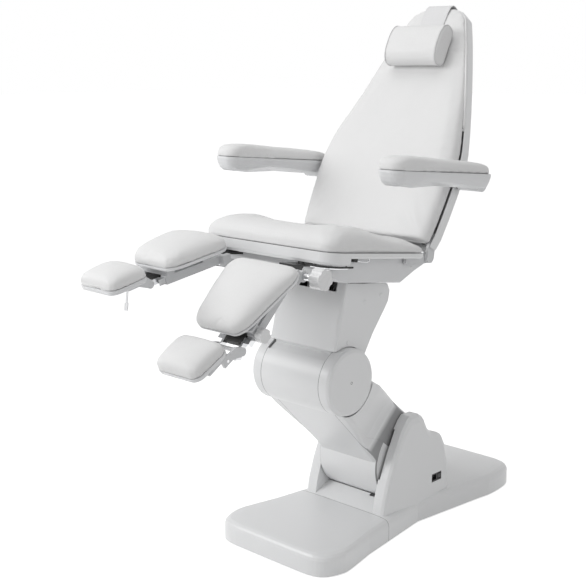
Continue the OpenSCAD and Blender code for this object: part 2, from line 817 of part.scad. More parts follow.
module tilt_motor() {
    color(black) drive_tube(tilt_low, 0, 0, tilt_drive_r, tilt_pin_r * 0.8, tilt_span * 0.6);
}

module tilt_rod() {
    color(chrome) drive_rod(tilt_high, 180, 0, tilt_drive_r, tilt_pin_r * 0.8, tilt_span * 0.72);
}

// Seat frame of reference: v runs back from the front edge, h is the height over the seam
module on_seat() translate([0, -seat_front, seat_seam_z]) rotate([-seat_tilt, 0, 0]) children();
function seat_point(v, h) = [-seat_front, seat_seam_z] + turned([v, h], -seat_tilt);
function in_seat(p) = turned(p - [-seat_front, seat_seam_z], seat_tilt);

board_t = 12;
seat_corner_r = 52;
function seat_ring(inset, h) = [for (b = box_ring(seat_w / 2 - inset, seat_len / 2 - inset, seat_corner_r - inset, 12))
    [b.x, seat_len / 2 + b.y, h]];

// The pan's side view: along the seat and below its seam
pan_shares = [
    [0.13, -0.17], [0.13, -0.6], [0.145, -0.85], [0.257, -0.98], [0.56, -1.0], [0.857, -1.03],
    [0.995, -0.66], [1.1, -0.34], [1.1, -0.17], [0.6, -0.17]
];
function pan_ring(x, inset) =
    let (ring = [for (p = pan_shares) [seat_len * p.x, pan_h * p.y]],
        c = [middle2(ring, 0), middle2(ring, 1)])
    [for (p = ring) let (d = c - p, q = p + [sign(d.x), sign(d.y)] * inset) [x, q.x, q.y]];
module pan_form(inset) skin([
    pan_ring(-pan_w / 2 + inset, inset + cover_wall),
    pan_ring(-pan_w / 2 + 2 * cover_wall + inset, inset),
    pan_ring(pan_w / 2 - 2 * cover_wall - inset, inset),
    pan_ring(pan_w / 2 - inset, inset + cover_wall)
]);

opening_x = half_up + 7;
opening_front = in_seat([tilt_low.x - 30, tilt_low.y]).x;
opening_rear = in_seat([top_pivot.x + 136, top_pivot.y]).x;
slot_x = back_drive_r + 8;

module seat_pan() {
    color(pale)
        on_seat()
            difference() {
                pan_form(0);
                pan_form(cover_wall);
                translate([0, 0, 2 * cover_wall]) pan_form(cover_wall);
                translate([-opening_x, opening_front, -2 * pan_h])
                    cube([2 * opening_x, opening_rear - opening_front, 2 * pan_h]);
                translate([-slot_x, opening_front, -2 * pan_h])
                    cube([2 * slot_x, 2 * seat_len, 2 * pan_h]);
            }
}

module seat_skirt() {
    wall = cover_wall;
    color(white)
        on_seat()
            difference() {
                union() {
                    intersection() {
                        skin([seat_ring(3 * wall, -skirt_h), seat_ring(wall, -skirt_h * 0.9), seat_ring(0, -skirt_h * 0.7), seat_ring(0, 0)]);
                        translate([-seat_w, -cut, -2 * skirt_h])
                            cube([2 * seat_w, seat_len * 0.187, 4 * skirt_h]);
                    }
                    skin([seat_ring(wall, -rim_h), seat_ring(0, -rim_h * 0.7), seat_ring(0, 0)]);
                }
                skin([seat_ring(wall * 1.5, -2 * skirt_h), seat_ring(wall * 1.5, skirt_h)]);
            }
}

back_pivot = [-71, 908];
back_reach = 85;
back_low = back_pivot + polar(back_reach, 185);
back_high = back_pivot + polar(back_reach, 320);
back_line = atan2(back_high.y - back_low.y, back_high.x - back_low.x);
back_span = norm(back_high - back_low);
hinge_x = 236;
hinge_t = 10;
hinge_pin_r = 9;
leg_pin_v = 30;
leg_pin_r = 12;
rail_t = 16;

module seat_frame() {
    inset = 6.5;
    color(black)
        difference() {
            union() {
                on_seat() {
                    difference() {
                        skin([seat_ring(inset, -board_t), seat_ring(inset, -rest_gap)]);
                        for (s = [-1, 1])
                            translate([s * leg_x, leg_pin_v, -2 * board_t]) cylinder(r = leg_pin_r - cut, h = board_t);
                    }
                    for (s = [-1, 1]) {
                        translate([s * (opening_x + 5 + rail_t / 2) - rail_t / 2, seat_len * 0.16, -board_t - rail_t * 2.6])
                            cube([rail_t, seat_len * 0.81, rail_t * 2.6 + cut]);
                        translate([s * leg_x, leg_pin_v, -skirt_h - gap + rest_gap])
                            cylinder(r = leg_pin_r + 9, h = skirt_h - board_t + 2 * gap);
                    }
                }
                slab_pair(lug_x, lug_x + lug_t)
                    belt_shape(tilt_pivot, 1.5 * tilt_pin_r, tilt_pivot + [0, 8.2 * tilt_pin_r], 1.5 * tilt_pin_r);
                slab_pair(tilt_drive_r + 2, tilt_drive_r + 8)
                    belt_shape(tilt_high, 1.5 * tilt_pin_r, tilt_high + [2 * tilt_pin_r, 2.4 * tilt_pin_r], tilt_pin_r);
                bar(tilt_high, tilt_pin_r * 0.8, -tilt_drive_r - 8, tilt_drive_r + 8);
                slab_pair(back_drive_r + 1, back_drive_r + 7)
                    belt_shape(back_low, 1.5 * tilt_pin_r, back_low + [-0.6 * tilt_pin_r, 3.2 * tilt_pin_r], tilt_pin_r);
                bar(back_low, tilt_pin_r * 0.8, -back_drive_r - 7, back_drive_r + 7);
                slab_pair(hinge_x - hinge_t - 1, hinge_x - 1)
                    polygon([
                        back_pivot + polar(2 * hinge_pin_r, 110), back_pivot + polar(2 * hinge_pin_r, 65), back_pivot + polar(2.1 * hinge_pin_r, 20),
                        back_pivot + polar(2.1 * hinge_pin_r, -50), back_pivot + polar(2.1 * hinge_pin_r, -110),
                        seat_point(seat_len * 0.84, -3 * board_t), seat_point(seat_len * 0.84, -board_t + cut),
                        seat_point(seat_len * 0.965, -board_t + cut), seat_point(seat_len * 0.965, -rim_h - cut), seat_point(seat_len * 1.01, -rim_h - cut)
                    ]);
            }
            bar(tilt_pivot, tilt_pin_r + run_fit, -lug_x * 2, lug_x * 2);
            bar(back_pivot, hinge_pin_r + run_fit, -2 * hinge_x, 2 * hinge_x);
            on_seat()
                for (s = [-1, 1])
                    translate([s * leg_x, leg_pin_v, -2 * skirt_h])
                        cylinder(r = leg_pin_r + run_fit, h = 2 * skirt_h - board_t * 0.5);
        }
}

// Soft forms: rings that are drawn in at the seam, bulge, then close over the crown
pad_shares = [[0.965, 0], [0.992, 0.1], [1, 0.28], [0.997, 0.46], [0.975, 0.64], [0.925, 0.79], [0.83, 0.9], [0.66, 0.965], [0.4, 0.995], [0.14, 1]];

seat_shares = [[0.975, 0], [0.995, 0.1], [1, 0.24], [0.985, 0.42], [0.955, 0.57], [0.9, 0.71], [0.82, 0.82], [0.7, 0.91], [0.5, 0.965], [0.28, 0.99], [0.1, 1]];
function seat_height(x, v) =
    let (a = min(1, abs(x) * 2 / seat_w), t = v / seat_len)
    seat_crown * (1 - 0.12 * (1 - smooth(t / 0.24)) - 0.36 * smooth((t - 0.3) / 0.4) - 0.2 * smooth((t - 0.7) / 0.3)
        - 0.27 * smooth(t / 0.36) * (1 - smooth((a - 0.35) / 0.5)));
module seat_cushion() {
    color(white)
        on_seat()
            skin([for (l = seat_shares)
                [for (p = seat_ring(0, 0))
                    let (x = p.x * l.x, v = seat_len / 2 + (p.y - seat_len / 2) * l.x)
                    [x, v, rest_gap + seat_height(x, v) * l.y]]]);
}

module back_motor() {
    color(black) drive_tube(back_low, back_line, 0, back_drive_r, tilt_pin_r * 0.8, back_span * 0.6);
}

module back_rod() {
    color(chrome) drive_rod(back_high, back_line + 180, 0, back_drive_r, tilt_pin_r * 0.8, back_span * 0.55);
}

// Back: y points to the rear, z runs up the back from its lower edge
back_y = -90;
back_z = 930;
module on_back() translate([0, back_y, back_z]) rotate([-back_lean, 0, 0]) children();
function in_back(p) = turned(p - [back_y, back_z], back_lean);
back_shares = [
    [0, 0], [0.5, 0], [0.86, 0.003], [0.94, 0.018], [0.965, 0.06], [0.985, 0.14], [1, 0.24], [1, 0.33], [1, 0.4],
    [1, 0.48], [1, 0.57], [1, 0.67], [1, 0.77], [1, 0.86], [0.99, 0.915], [0.9, 0.96], [0.7, 0.985], [0.4, 0.997]
];
function back_half(t) = lerp(back_w, back_top_w, pow(max(0, t - 0.35) / 0.56, 1.2)) / 2;
back_side = [for (p = back_shares) [p.x * back_half(min(p.y, 0.93)), p.y * back_len]];
back_n = len(back_shares);
back_outline = concat(
    back_side, [[0, back_len]], [for (k = [back_n - 1:-1:1]) [-back_side[k].x, back_side[k].y]]);
function shrink(ring, c, inset) = [for (p = ring) let (d = c - p) p + d * min(0.9, inset / norm(d))];
function back_ring(inset, y, foot = 0) = [for (p = shrink(back_outline, [0, back_len * 0.45], inset)) [p.x, y, max(foot, p.y)]];

module back_shell() {
    w = cover_wall;
    color(white)
        on_back()
            difference() {
                skin([
                    back_ring(w * 0.6, rest_gap), back_ring(0, w), back_ring(0, back_shell_t * 0.45), back_ring(0, back_shell_t * 0.7, 3.5 * w),
                    back_ring(w * 0.6, back_shell_t * 0.86, 5.5 * w), back_ring(w * 2, back_shell_t * 0.96, 7 * w), back_ring(w * 4.5, back_shell_t, 8 * w)
                ]);
                skin([
                    back_ring(w, -w, w), back_ring(w, back_shell_t * 0.45, w), back_ring(w, back_shell_t * 0.7, 4.5 * w), back_ring(w * 3, back_shell_t - w, 8 * w)
                ]);
                for (s = [-1, 1])
                    translate([s * back_w / 2 - 3 * w, arm_pivot_back.x, arm_pivot_back.y])
                        rotate([0, 90, 0]) cylinder(r = arm_pin_r + 1, h = 6 * w);
                // Slots for the hinges and the drive's lever
                for (x = [-hinge_x - hinge_t - 4, hinge_x - hinge_t - 4])
                    translate([x, -w, -back_len * 0.05]) cube([2 * hinge_t + 8, 2 * back_shell_t, back_len * 0.1]);
                translate([-back_drive_r - 12, -w, -back_len * 0.05])
                    cube([2 * back_drive_r + 24, 2 * back_shell_t, back_len * 0.1]);
            }
}

arm_pivot_back = [back_shell_t * 0.3, back_len * 0.288];
arm_pivot = back_point(arm_pivot_back.x, arm_pivot_back.y);
arm_pin_r = 8;
arm_tube_r = 14;
arm_in = back_w / 2 + arm_gap;

module back_frame() {
    y0 = 6;
    color(black) {
        difference() {
            union() {
                on_back() {
                    for (s = [-1, 1])
                        translate([s * (hinge_x - 18) - 8, y0, back_len * 0.03])
                            cube([16, 14, back_len * 0.3]);
                    for (z = [0.04, 0.3])
                        translate([-hinge_x + 18, y0, back_len * z]) cube([2 * hinge_x - 36, 14, 24]);
                    translate([-60, y0, back_len * 0.3]) cube([14, 14, back_len * 0.56]);
                    translate([46, y0, back_len * 0.3]) cube([14, 14, back_len * 0.56]);
                    translate([-60, y0, back_len * 0.86]) cube([120, 14, 16]);
                }
                slab_pair(hinge_x, hinge_x + hinge_t)
                    polygon([
                        back_pivot + polar(2 * hinge_pin_r, 200), back_pivot + polar(2 * hinge_pin_r, 240), back_pivot + polar(2 * hinge_pin_r, 290),
                        back_pivot + polar(2 * hinge_pin_r, 340), back_point(y0 + 14, 62), back_point(y0, 62), back_point(2, 14)
                    ]);
                slab_pair(hinge_x - 18, hinge_x + cut) polygon([back_point(y0, 40), back_point(y0 + 14, 40), back_point(y0 + 14, 62), back_point(y0, 62)]);
                slab_pair(back_drive_r + 2, back_drive_r + 9)
                    belt_shape(back_high, 1.8 * tilt_pin_r, back_point(y0 + 7, 46), tilt_pin_r);
                bar(back_high, tilt_pin_r * 0.8, -back_drive_r - 9, back_drive_r + 9);
                bar(arm_pivot, arm_pin_r, hinge_x - 24, arm_in + 13);
                bar(arm_pivot, arm_pin_r, -arm_in - 13, -hinge_x + 24);
            }
        }
        bar(back_pivot, hinge_pin_r, hinge_x - hinge_t - 3, hinge_x + cut);
        bar(back_pivot, hinge_pin_r, -hinge_x - cut, -hinge_x + hinge_t + 3);
    }
}
function back_point(y, z) = [back_y, back_z] + turned([y, z], -back_lean);

back_thin_share = 0.42;
back_lift = 20;
function back_thick(x, s) =
    let (t = s / back_len, a = min(1, abs(x) / back_half(t)))
    back_pad_t * (lerp(1, back_thin_share, smooth((t - 0.36) / 0.38)) - 0.16 * (1 - smooth((a - 0.3) / 0.6)) * (1 - smooth((t - 0.5) / 0.3)));
module back_cushion() {
    c = [0, back_len * 0.45];
    color(white)
        on_back()
            skin([for (l = pad_shares)
                [for (p = back_outline)
                    let (q = c + (p - c) * l.x)
                    [q.x, -rest_gap - back_thick(q.x, q.y) * l.y, max(back_lift, q.y)]]]);
}

pillow_s = back_len * 0.72;
strap_t = 2.5;
module head_pillow() {
    y = -back_pad_t * back_thin_share - strap_t - 3 * rest_gap;
    n = 20;
    side = [for (i = [0:n - 1]) let (a = 360 * i / n)
        [max(0, pillow_t * 0.78 * (0.42 + 0.58 * power(cos(a), 0.8))), pillow_h / 2 * power(sin(a), 0.85)]];
    c = [pillow_t * 0.4, 0];
    steps = [[-1, 0.86], [-0.985, 0.95], [-0.93, 1], [0.93, 1], [0.985, 0.95], [1, 0.86]];
    color(white)
        on_back()
            skin([for (k = [len(steps) - 1:-1:0])
                [for (p = side) let (q = c + (p - c) * steps[k].y)
                    [steps[k].x * pillow_w / 2, y - q.x, pillow_s + pillow_h / 2 + q.y]]]);
}

module head_strap() {
    lie = strap_t + rest_gap;
    front = -back_pad_t * back_thin_share - lie;
    rear = back_shell_t + lie;
    path = [
        [front, back_len * 0.8], [front * 0.94, back_len * 0.906], [front * 0.84, back_len * 0.963],
        [front * 0.66, back_len * 0.992], [front * 0.46, back_len + lie], [rear * 0.66, back_len + lie],
        [rear * 0.86, back_len * 0.998 + lie / 2], [rear * 0.96, back_len * 0.992], [rear, back_len * 0.978], [rear, back_len * 0.84]
    ];
    c = [back_shell_t * 0.2, back_len * 0.8];
    inner = [for (p = path) let (d = c - p) p + d * (strap_t / norm(d))];
    color(white)
        on_back()
            slab(-strap_w / 2, strap_w / 2)
                polygon(concat(path, [for (k = [len(inner) - 1:-1:0]) inner[k]]));
}

// Armrests: a runs back from the front end, h is the height over the seam
arm_lean = 5.3;
arm_front = [-400, 1204];
arm_mid = back_w / 2 + arm_gap + arm_rest_w / 2 + 1;
module on_arm() translate([arm_mid, arm_front.x, arm_front.y]) rotate([-arm_lean, 0, 0]) children();
// The shell's depth along the armrest, as shares: full under the hand, thin behind it, full at the pivot
arm_depths = [[0, 0.72], [0.09, 0.94], [0.17, 1], [0.29, 0.74], [0.38, 0.64], [0.6, 0.74], [0.84, 0.96], [1, 1]];
arm_side_n = 8;
function arm_ring(inset, h) =
    let (w = arm_rest_w / 2 - inset, l = arm_rest_len / 2 - inset, r = arm_rest_w * 0.4 - inset, ring = box_ring(w, l, r),
        side = [for (i = [1:arm_side_n]) (l - r) * (1 - 2 * i / (arm_side_n + 1))])
    [for (b = concat(
        [for (i = [0:15]) ring[i]], [for (y = side) [-w, y]],
        [for (i = [16:31]) ring[i]], [for (y = side) [w, -y]]))
        let (v = b.y / arm_rest_len + 0.5)
        [b.x * lerp(0.92, 1, smooth(v / 0.4)), arm_rest_len * v, h * (h < 0 ? lookup(v, arm_depths) : 1)]];

module arm_pad() {
    color(white)
        on_arm()
            skin([for (l = pad_shares)
                [for (p = arm_ring(0, 0))
                    let (x = p.x * l.x, v = arm_rest_len / 2 + (p.y - arm_rest_len / 2) * lerp(1, l.x, 0.5))
                    [x, v, rest_gap + arm_pad_h * l.y]]]);
}

module arm_shell() {
    w = cover_wall;
    color(pale)
        difference() {
            union() {
                on_arm()
                    skin([
                        arm_ring(5 * w, -arm_shell_h), arm_ring(2.6 * w, -arm_shell_h * 0.86),
                        arm_ring(w, -arm_shell_h * 0.55), arm_ring(0, -arm_shell_h * 0.2), arm_ring(0, 0)
                    ]);
                bar(arm_pivot, arm_tube_r * 1.9, arm_in + 2, arm_in + arm_rest_w * 0.8);
            }
            on_arm()
                skin([arm_ring(2 * w, -arm_shell_h * 0.35), arm_ring(w, 0), arm_ring(w, w)]);
            bar(arm_pivot, arm_tube_r + run_fit, arm_in - 9, arm_in + 26);
        }
}

module arm_bracket() {
    color(black)
        difference() {
            union() {
                bar(arm_pivot, arm_tube_r * 1.7, arm_in - 5.7, arm_in + 1);
                bar(arm_pivot, arm_tube_r, arm_in, arm_in + 25);
            }
            bar(arm_pivot, arm_pin_r + run_fit, arm_in - 9, arm_in + 14);
        }
}

module armrest_bracket_left() arm_bracket();
module armrest_bracket_right() mirror([1, 0, 0]) arm_bracket();
module armrest_shell_left() arm_shell();
module armrest_shell_right() mirror([1, 0, 0]) arm_shell();
module armrest_pad_left() arm_pad();
module armrest_pad_right() mirror([1, 0, 0]) arm_pad();

// Leg rests
leg_hinge = [-608, 921];
hinge_v = in_seat(leg_hinge).x;
hinge_h = in_seat(leg_hinge).y;
leg_tube_r = 10;
leg_knob_x = 125;
rail_x = 50;
rail_w = 24;
rail_wall = 3;
rail_n = 20;
seam_n = 57;
rail_mid = -10;
pad_mid = -38;
foot_at = 272;
foot_n = 22;
foot_drop = 35;

module place(side) {
    swing = side < 0 ? right_leg_swing : 0;
    p = seat_point(leg_pin_v, 0);
    translate([side * leg_x, p.x, p.y])
        mirror([side < 0 ? 1 : 0, 0, 0])
            rotate([-seat_tilt, 0, 0])
                rotate([0, 0, swing])
                    rotate([seat_tilt, 0, 0])
                        translate([0, -p.x, -p.y])
                            children();
}
module on_hinge(side) translate([0, leg_hinge.x, leg_hinge.y]) rotate([side > 0 ? left_leg_angle : right_leg_angle, 0, 0]) children();
module on_foot(side) on_hinge(side) translate([0, -foot_at, foot_n]) rotate([side > 0 ? -left_foot_raise : right_foot_drop, 0, 0]) children();

// The swivelling bracket under the seat's front edge, with the hinge tube
bracket_x = 26;
module bracket(side) {
    t = 6;
    color(black)
        place(side)
            on_seat() {
                difference() {
                    union() {
                        translate([0, leg_pin_v, -skirt_h - gap]) cylinder(r = leg_pin_r, h = skirt_h - board_t * 0.8);
                        translate([-bracket_x, hinge_v - 4, -skirt_h - gap - t])
                            cube([2 * bracket_x, leg_pin_v - hinge_v + 2 * leg_pin_r, t]);
                        for (x = [-bracket_x, bracket_x - t])
                            translate([x, hinge_v, 0]) rotate([90, 0, 90])
                                linear_extrude(t)
                                    polygon([
                                        [-14, -skirt_h - gap - t + cut], [-14, hinge_h - 12], [12, hinge_h - 14],
                                        [40, -skirt_h - gap - t - 2], [40, -skirt_h - gap - t + cut]
                                    ]);
                    }
                    translate([-40, hinge_v, hinge_h]) rotate([0, 90, 0]) cylinder(r = leg_tube_r - cut, h = 80);
                }
            }
    color(chrome)
        place(side)
            bar(leg_hinge, leg_tube_r, -96, leg_knob_x - 8);
}

module frame_of_leg(side) {
    color(steel)
        place(side)
            on_hinge(side)
                difference() {
                    union() {
                        for (s = [-1, 1])
                            translate([rail_mid + s * (rail_x + 18) - 9, 0, 0]) {
                                rotate([0, 90, 0]) cylinder(r = leg_tube_r + 6, h = 18);
                                translate([0, -30, 0]) cube([18, 30, rail_n + rail_w / 2]);
                            }
                        for (s = [-1, 1])
                            translate([rail_mid + s * rail_x - rail_w / 2, 46 - foot_at, rail_n - rail_w / 2])
                                cube([rail_w, foot_at - 58, rail_w]);
                        for (y = [-90, 52 - foot_at])
                            translate([rail_mid - rail_x - rail_w / 2, y, rail_n + rail_w / 2 - cut])
                                cube([2 * rail_x + rail_w, 26, seam_n - rail_n - rail_w / 2 - 2]);
                        translate([rail_mid - rail_x - rail_w, 46 - foot_at, seam_n - 5])
                            cube([2 * rail_x + 2 * rail_w, foot_at - 96, 5 - rest_gap]);
                    }
                    for (s = [-1, 1])
                        translate([rail_mid + s * rail_x - rail_w / 2 + rail_wall, -foot_at, rail_n - rail_w / 2 + rail_wall])
                            cube([rail_w - 2 * rail_wall, foot_at - 20, rail_w - 2 * rail_wall]);
                    rotate([0, 90, 0]) cylinder(r = leg_tube_r + run_fit, h = 2 * leg_pad_w, center = true);
                    translate([rail_mid + rail_x, knob_y, rail_n])
                        rotate([0, 90, 0]) cylinder(r = leg_knob_r * 0.2 + run_fit, h = 2 * rail_w);
                }
}

// A pad with a straight inner side, narrowing from w0 to w1 on its outer side
function pad_outline(w0, w1, len, mid) = [for (b = box_ring(w0 / 2, len / 2, len * 0.17))
    let (t = 0.5 - b.y / len, w = lerp(w0, w1, t))
    [mid - w0 / 2 + w * (b.x / w0 + 0.5), b.y - len / 2]];
module soft_pad(w0, w1, len, t, crown, mid) {
    ring = pad_outline(w0, w1, len, mid);
    c = [mid - (w0 - w1) / 4, -len / 2];
    skin([for (l = pad_shares)
        [for (p = ring)
            let (q = c + (p - c) * l.x, a = min(1, abs(q.x - c.x) * 2 / w0), b = abs(q.y / len + 0.5) * 2)
            [q.x, q.y, t * l.y * (1 - crown * a * a - crown * 0.5 * b * b)]]]);
}

module pad_of_leg(side) {
    color(white)
        place(side)
            on_hinge(side)
                translate([0, -20, seam_n])
                    soft_pad(leg_pad_w, leg_pad_foot_w, leg_pad_len, leg_pad_t, 0.16, 0);
}

module lobed_knob(x, r, h) {
    translate([x, 0, 0])
        rotate([0, 90, 0])
            difference() {
                cylinder(r = r, h = h);
                for (k = [0:5])
                    rotate([0, 0, 60 * k]) translate([r * 1.28, 0, -cut]) cylinder(r = r * 0.42, h = h + 2 * cut);
            }
}

leg_knob_r = 30;
foot_knob_r = 20;
knob_y = -212;
module knob_of_leg(side) {
    color(white)
        place(side)
            on_hinge(side)
                difference() {
                    lobed_knob(leg_knob_x - 16, leg_knob_r, leg_knob_r * 1.2);
                    rotate([0, 90, 0]) cylinder(r = leg_tube_r + run_fit, h = leg_knob_x - 8);
                }
}

foot_lug_x = 36;
foot_lug_r = 12;
foot_side_x = foot_lug_x + 14;
lever_r = 4;
lever_len = 72;
lever_at = [-54, foot_drop - board_t / 2 - 3 * lever_r];
module slide_of_foot(side) {
    w = rail_w - 2 * rail_wall - 2 * run_fit;
    color(chrome)
        place(side)
            on_hinge(side)
                difference() {
                    union() {
                        for (s = [-1, 1])
                            translate([rail_mid + s * rail_x - w / 2, 22 - foot_at, rail_n - w / 2]) cube([w, foot_at * 0.55, w]);
                        translate([rail_mid - rail_x - w / 2, 22 - foot_at, rail_n - w / 2]) cube([2 * rail_x + w, w, w]);
                        for (s = [-1, 1])
                            translate([rail_mid + s * foot_lug_x - 4, -foot_at, foot_n]) {
                                rotate([0, 90, 0]) cylinder(r = foot_lug_r, h = 8);
                                translate([0, 0, -foot_lug_r * 0.8]) cube([8, 24, foot_lug_r * 1.4]);
                            }
                    }
                    translate([-leg_pad_w, -foot_at, foot_n])
                        rotate([0, 90, 0]) cylinder(r = foot_lug_r / 2 + run_fit, h = 2 * leg_pad_w);
                }
}

module knob_of_foot(side) {
    x = rail_mid + rail_x + rail_w / 2;
    color(white)
        place(side)
            on_hinge(side)
                translate([0, knob_y, rail_n]) {
                    lobed_knob(x + 6, foot_knob_r, foot_knob_r * 1.1);
                    translate([x - rail_wall + 0.5, 0, 0])
                        rotate([0, 90, 0]) cylinder(r = leg_knob_r * 0.2, h = foot_knob_r);
                }
}

module bracket_of_foot(side) {
    r = foot_lug_r;
    h = foot_drop - board_t / 2;
    color(black)
        place(side)
            on_foot(side)
                translate([rail_mid, 0, 0]) {
                    bar([0, 0], r / 2, -foot_side_x, foot_side_x);
                    difference() {
                        slab_pair(foot_side_x - lug_t, foot_side_x) {
                            circle(r = r);
                            polygon([
                                [-r * 0.7, -r * 0.7], [r * 0.7, r * 0.7], [-r, h],
                                [-r * 6, h], [-r * 6, h - r * 1.8], [-r * 3.2, h - r * 1.8]
                            ]);
                        }
                        bar(lever_at, lever_r + run_fit, -2 * foot_side_x, 2 * foot_side_x);
                    }
                    translate([-foot_side_x, -foot_pad_len + lever_r, h - cut])
                        cube([2 * foot_side_x, foot_pad_len - 4 * r, board_t / 2 + cut - rest_gap]);
                }
}

module pad_of_foot(side) {
    color(white)
        place(side)
            on_foot(side)
                translate([0, -38, foot_drop])
                    soft_pad(foot_pad_w, foot_pad_w * 0.94, foot_pad_len, foot_pad_t, 0.14, pad_mid);
}

module lever_of_foot(side) {
    turn = side > 0 ? 50 : -20;
    color(chrome)
        place(side)
            on_foot(side)
                translate([rail_mid, lever_at.x, lever_at.y]) {
                    bar([0, 0], lever_r, -foot_side_x, foot_side_x);
                    translate([side > 0 ? foot_lug_x - 14 : -foot_lug_x + 14, 0, 0])
                        rotate([turn, 0, 0])
                            translate([0, 0, -lever_len]) {
                                cylinder(r = lever_r * 0.9, h = lever_len);
                                cylinder(r = lever_r * 1.5, h = lever_len * 0.3);
                            }
                }
}

module leg_bracket_left() bracket(1);
module leg_bracket_right() bracket(-1);
module leg_frame_left() frame_of_leg(1);
module leg_frame_right() frame_of_leg(-1);
module leg_pad_left() pad_of_leg(1);
module leg_pad_right() pad_of_leg(-1);
module leg_knob_left() knob_of_leg(1);
module leg_knob_right() knob_of_leg(-1);
module foot_slide_left() slide_of_foot(1);
module foot_slide_right() slide_of_foot(-1);
module foot_knob_left() knob_of_foot(1);
module foot_knob_right() knob_of_foot(-1);
module foot_bracket_left() bracket_of_foot(1);
module foot_bracket_right() bracket_of_foot(-1);
module foot_pad_left() pad_of_foot(1);
module foot_pad_right() pad_of_foot(-1);
module foot_lever_left() lever_of_foot(1);
module foot_lever_right() lever_of_foot(-1);

control_w = 180;
control_h = 40;
module control_box() {
    color(black)
        translate([-control_w / 2, base_len * 0.22, plate_t]) cube([control_w, control_w * 0.9, control_h - gap]);
}

module base_screws() {
    color(steel)
        for (x = [-1, 1], y = [-1, 1])
            translate([x * base_waist_w * foot_x_share, y * base_len * foot_y_share, 0])
                cylinder(r = foot_r - run_fit, h = plate_t + 6);
}

base_plate();
base_cover_front();
base_cover_rear();
lower_shaft();
power_inlet();
power_switch();
lift_motor();
lift_rod();
control_box();
base_screws();
lower_arm_frame();
lower_arm_cover_left();
lower_arm_cover_right();
lower_arm_front_cover();
lift_chain();
knee_shaft();
upper_arm_frame();
upper_arm_cover();
knee_sprocket();
level_chain();
seat_carrier();
seat_shaft();
tilt_motor();
tilt_rod();
seat_frame();
seat_pan();
seat_skirt();
seat_cushion();
back_motor();
back_rod();
back_frame();
back_shell();
back_cushion();
head_strap();
head_pillow();
armrest_bracket_left();
armrest_bracket_right();
armrest_shell_left();
armrest_shell_right();
armrest_pad_left();
armrest_pad_right();
leg_bracket_left();
leg_bracket_right();
leg_frame_left();
leg_frame_right();
leg_pad_left();
leg_pad_right();
leg_knob_left();
leg_knob_right();
foot_slide_left();
foot_slide_right();
foot_knob_left();
foot_knob_right();
foot_bracket_left();
foot_bracket_right();
foot_pad_left();
foot_pad_right();
foot_lever_left();
foot_lever_right();
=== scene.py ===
"""Looks of a podiatry chair: padding, covers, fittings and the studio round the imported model.

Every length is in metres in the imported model's own frame: Z up, the floor at zero, the sitter
facing -Y, and +X on the sitter's left.
"""

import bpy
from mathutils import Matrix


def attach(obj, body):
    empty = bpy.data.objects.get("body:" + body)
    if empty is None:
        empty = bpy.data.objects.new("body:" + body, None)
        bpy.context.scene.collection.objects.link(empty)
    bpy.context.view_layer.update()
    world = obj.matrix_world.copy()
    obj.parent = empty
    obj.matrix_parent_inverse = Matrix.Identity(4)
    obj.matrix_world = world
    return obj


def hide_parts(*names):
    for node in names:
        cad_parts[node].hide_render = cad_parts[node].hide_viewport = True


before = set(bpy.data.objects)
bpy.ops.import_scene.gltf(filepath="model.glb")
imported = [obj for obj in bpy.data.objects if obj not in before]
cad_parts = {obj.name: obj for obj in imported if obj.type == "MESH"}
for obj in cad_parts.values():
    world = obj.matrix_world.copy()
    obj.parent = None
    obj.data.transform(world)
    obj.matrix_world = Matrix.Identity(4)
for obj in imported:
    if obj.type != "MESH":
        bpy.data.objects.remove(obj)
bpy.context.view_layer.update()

import logging
import math
from collections.abc import Callable, Iterable, Sequence
from dataclasses import dataclass, field
from enum import Enum
from functools import cache

import bmesh
import bpy
from mathutils import Matrix, Vector, noise

LOG = logging.getLogger("podiatry_chair")
Flat = tuple[float, float]
Point = tuple[float, float, float]
Ring = list[Point]
Colour = tuple[float, float, float]
REST_GAP = 0.0003  # air between a pad and what it lies on
MERGE_UNDER = 1e-5  # points closer than this become one
TURNED_SHARP = 35  # degrees over which a turned part keeps its edge


class Side(Enum):
    """The sitter's two sides; the value is the sign of X."""

    LEFT = 1
    RIGHT = -1

    @property
    def word(self) -> str:
        """The side as it stands in the nodes' names."""
        return self.name.lower()


# Curves and rings


def lerp(a: float, b: float, t: float) -> float:
    """Returns the value a share t of the way from a to b."""
    return a + (b - a) * t


def smooth(t: float) -> float:
    """Returns t held to 0..1 and eased at both ends."""
    u = min(1.0, max(0.0, t))
    return u * u * (3 - 2 * u)


def power(v: float, p: float) -> float:
    """Returns the size of v to the power p, with the sign of v."""
    return math.copysign(abs(v) ** p, v)


def turned(p: Flat, degrees: float) -> Flat:
    """Returns a flat point turned about zero."""
    c, s = math.cos(math.radians(degrees)), math.sin(math.radians(degrees))
    return (p[0] * c - p[1] * s, p[0] * s + p[1] * c)


def box_ring(w: float, l: float, r: float, corner: int = 9, side: int = 12) -> list[Flat]:
    """A rounded rectangle, with points along its straight sides too.

    Args:
        w: Half of its width.
        l: Half of its length.
        r: Radius of its corners.
        corner: Points in each corner.
        side: Points between two corners.

    Returns:
        The points in order, counter-clockwise from +X.
    """
    arcs = []
    for quarter in range(4):
        sx, sy = (1 if quarter in (0, 3) else -1), (1 if quarter < 2 else -1)
        for k in range(corner):
            a = math.radians(90 * quarter + 90 * k / (corner - 1))
            arcs.append((sx * (w - r) + r * math.cos(a), sy * (l - r) + r * math.sin(a)))
    ring: list[Flat] = []
    for i, p in enumerate(arcs):
        ring.append(p)
        if i % corner == corner - 1:
            q = arcs[(i + 1) % len(arcs)]
            ring += [(lerp(p[0], q[0], k / (side + 1)), lerp(p[1], q[1], k / (side + 1)))
                     for k in range(1, side + 1)]
    return ring


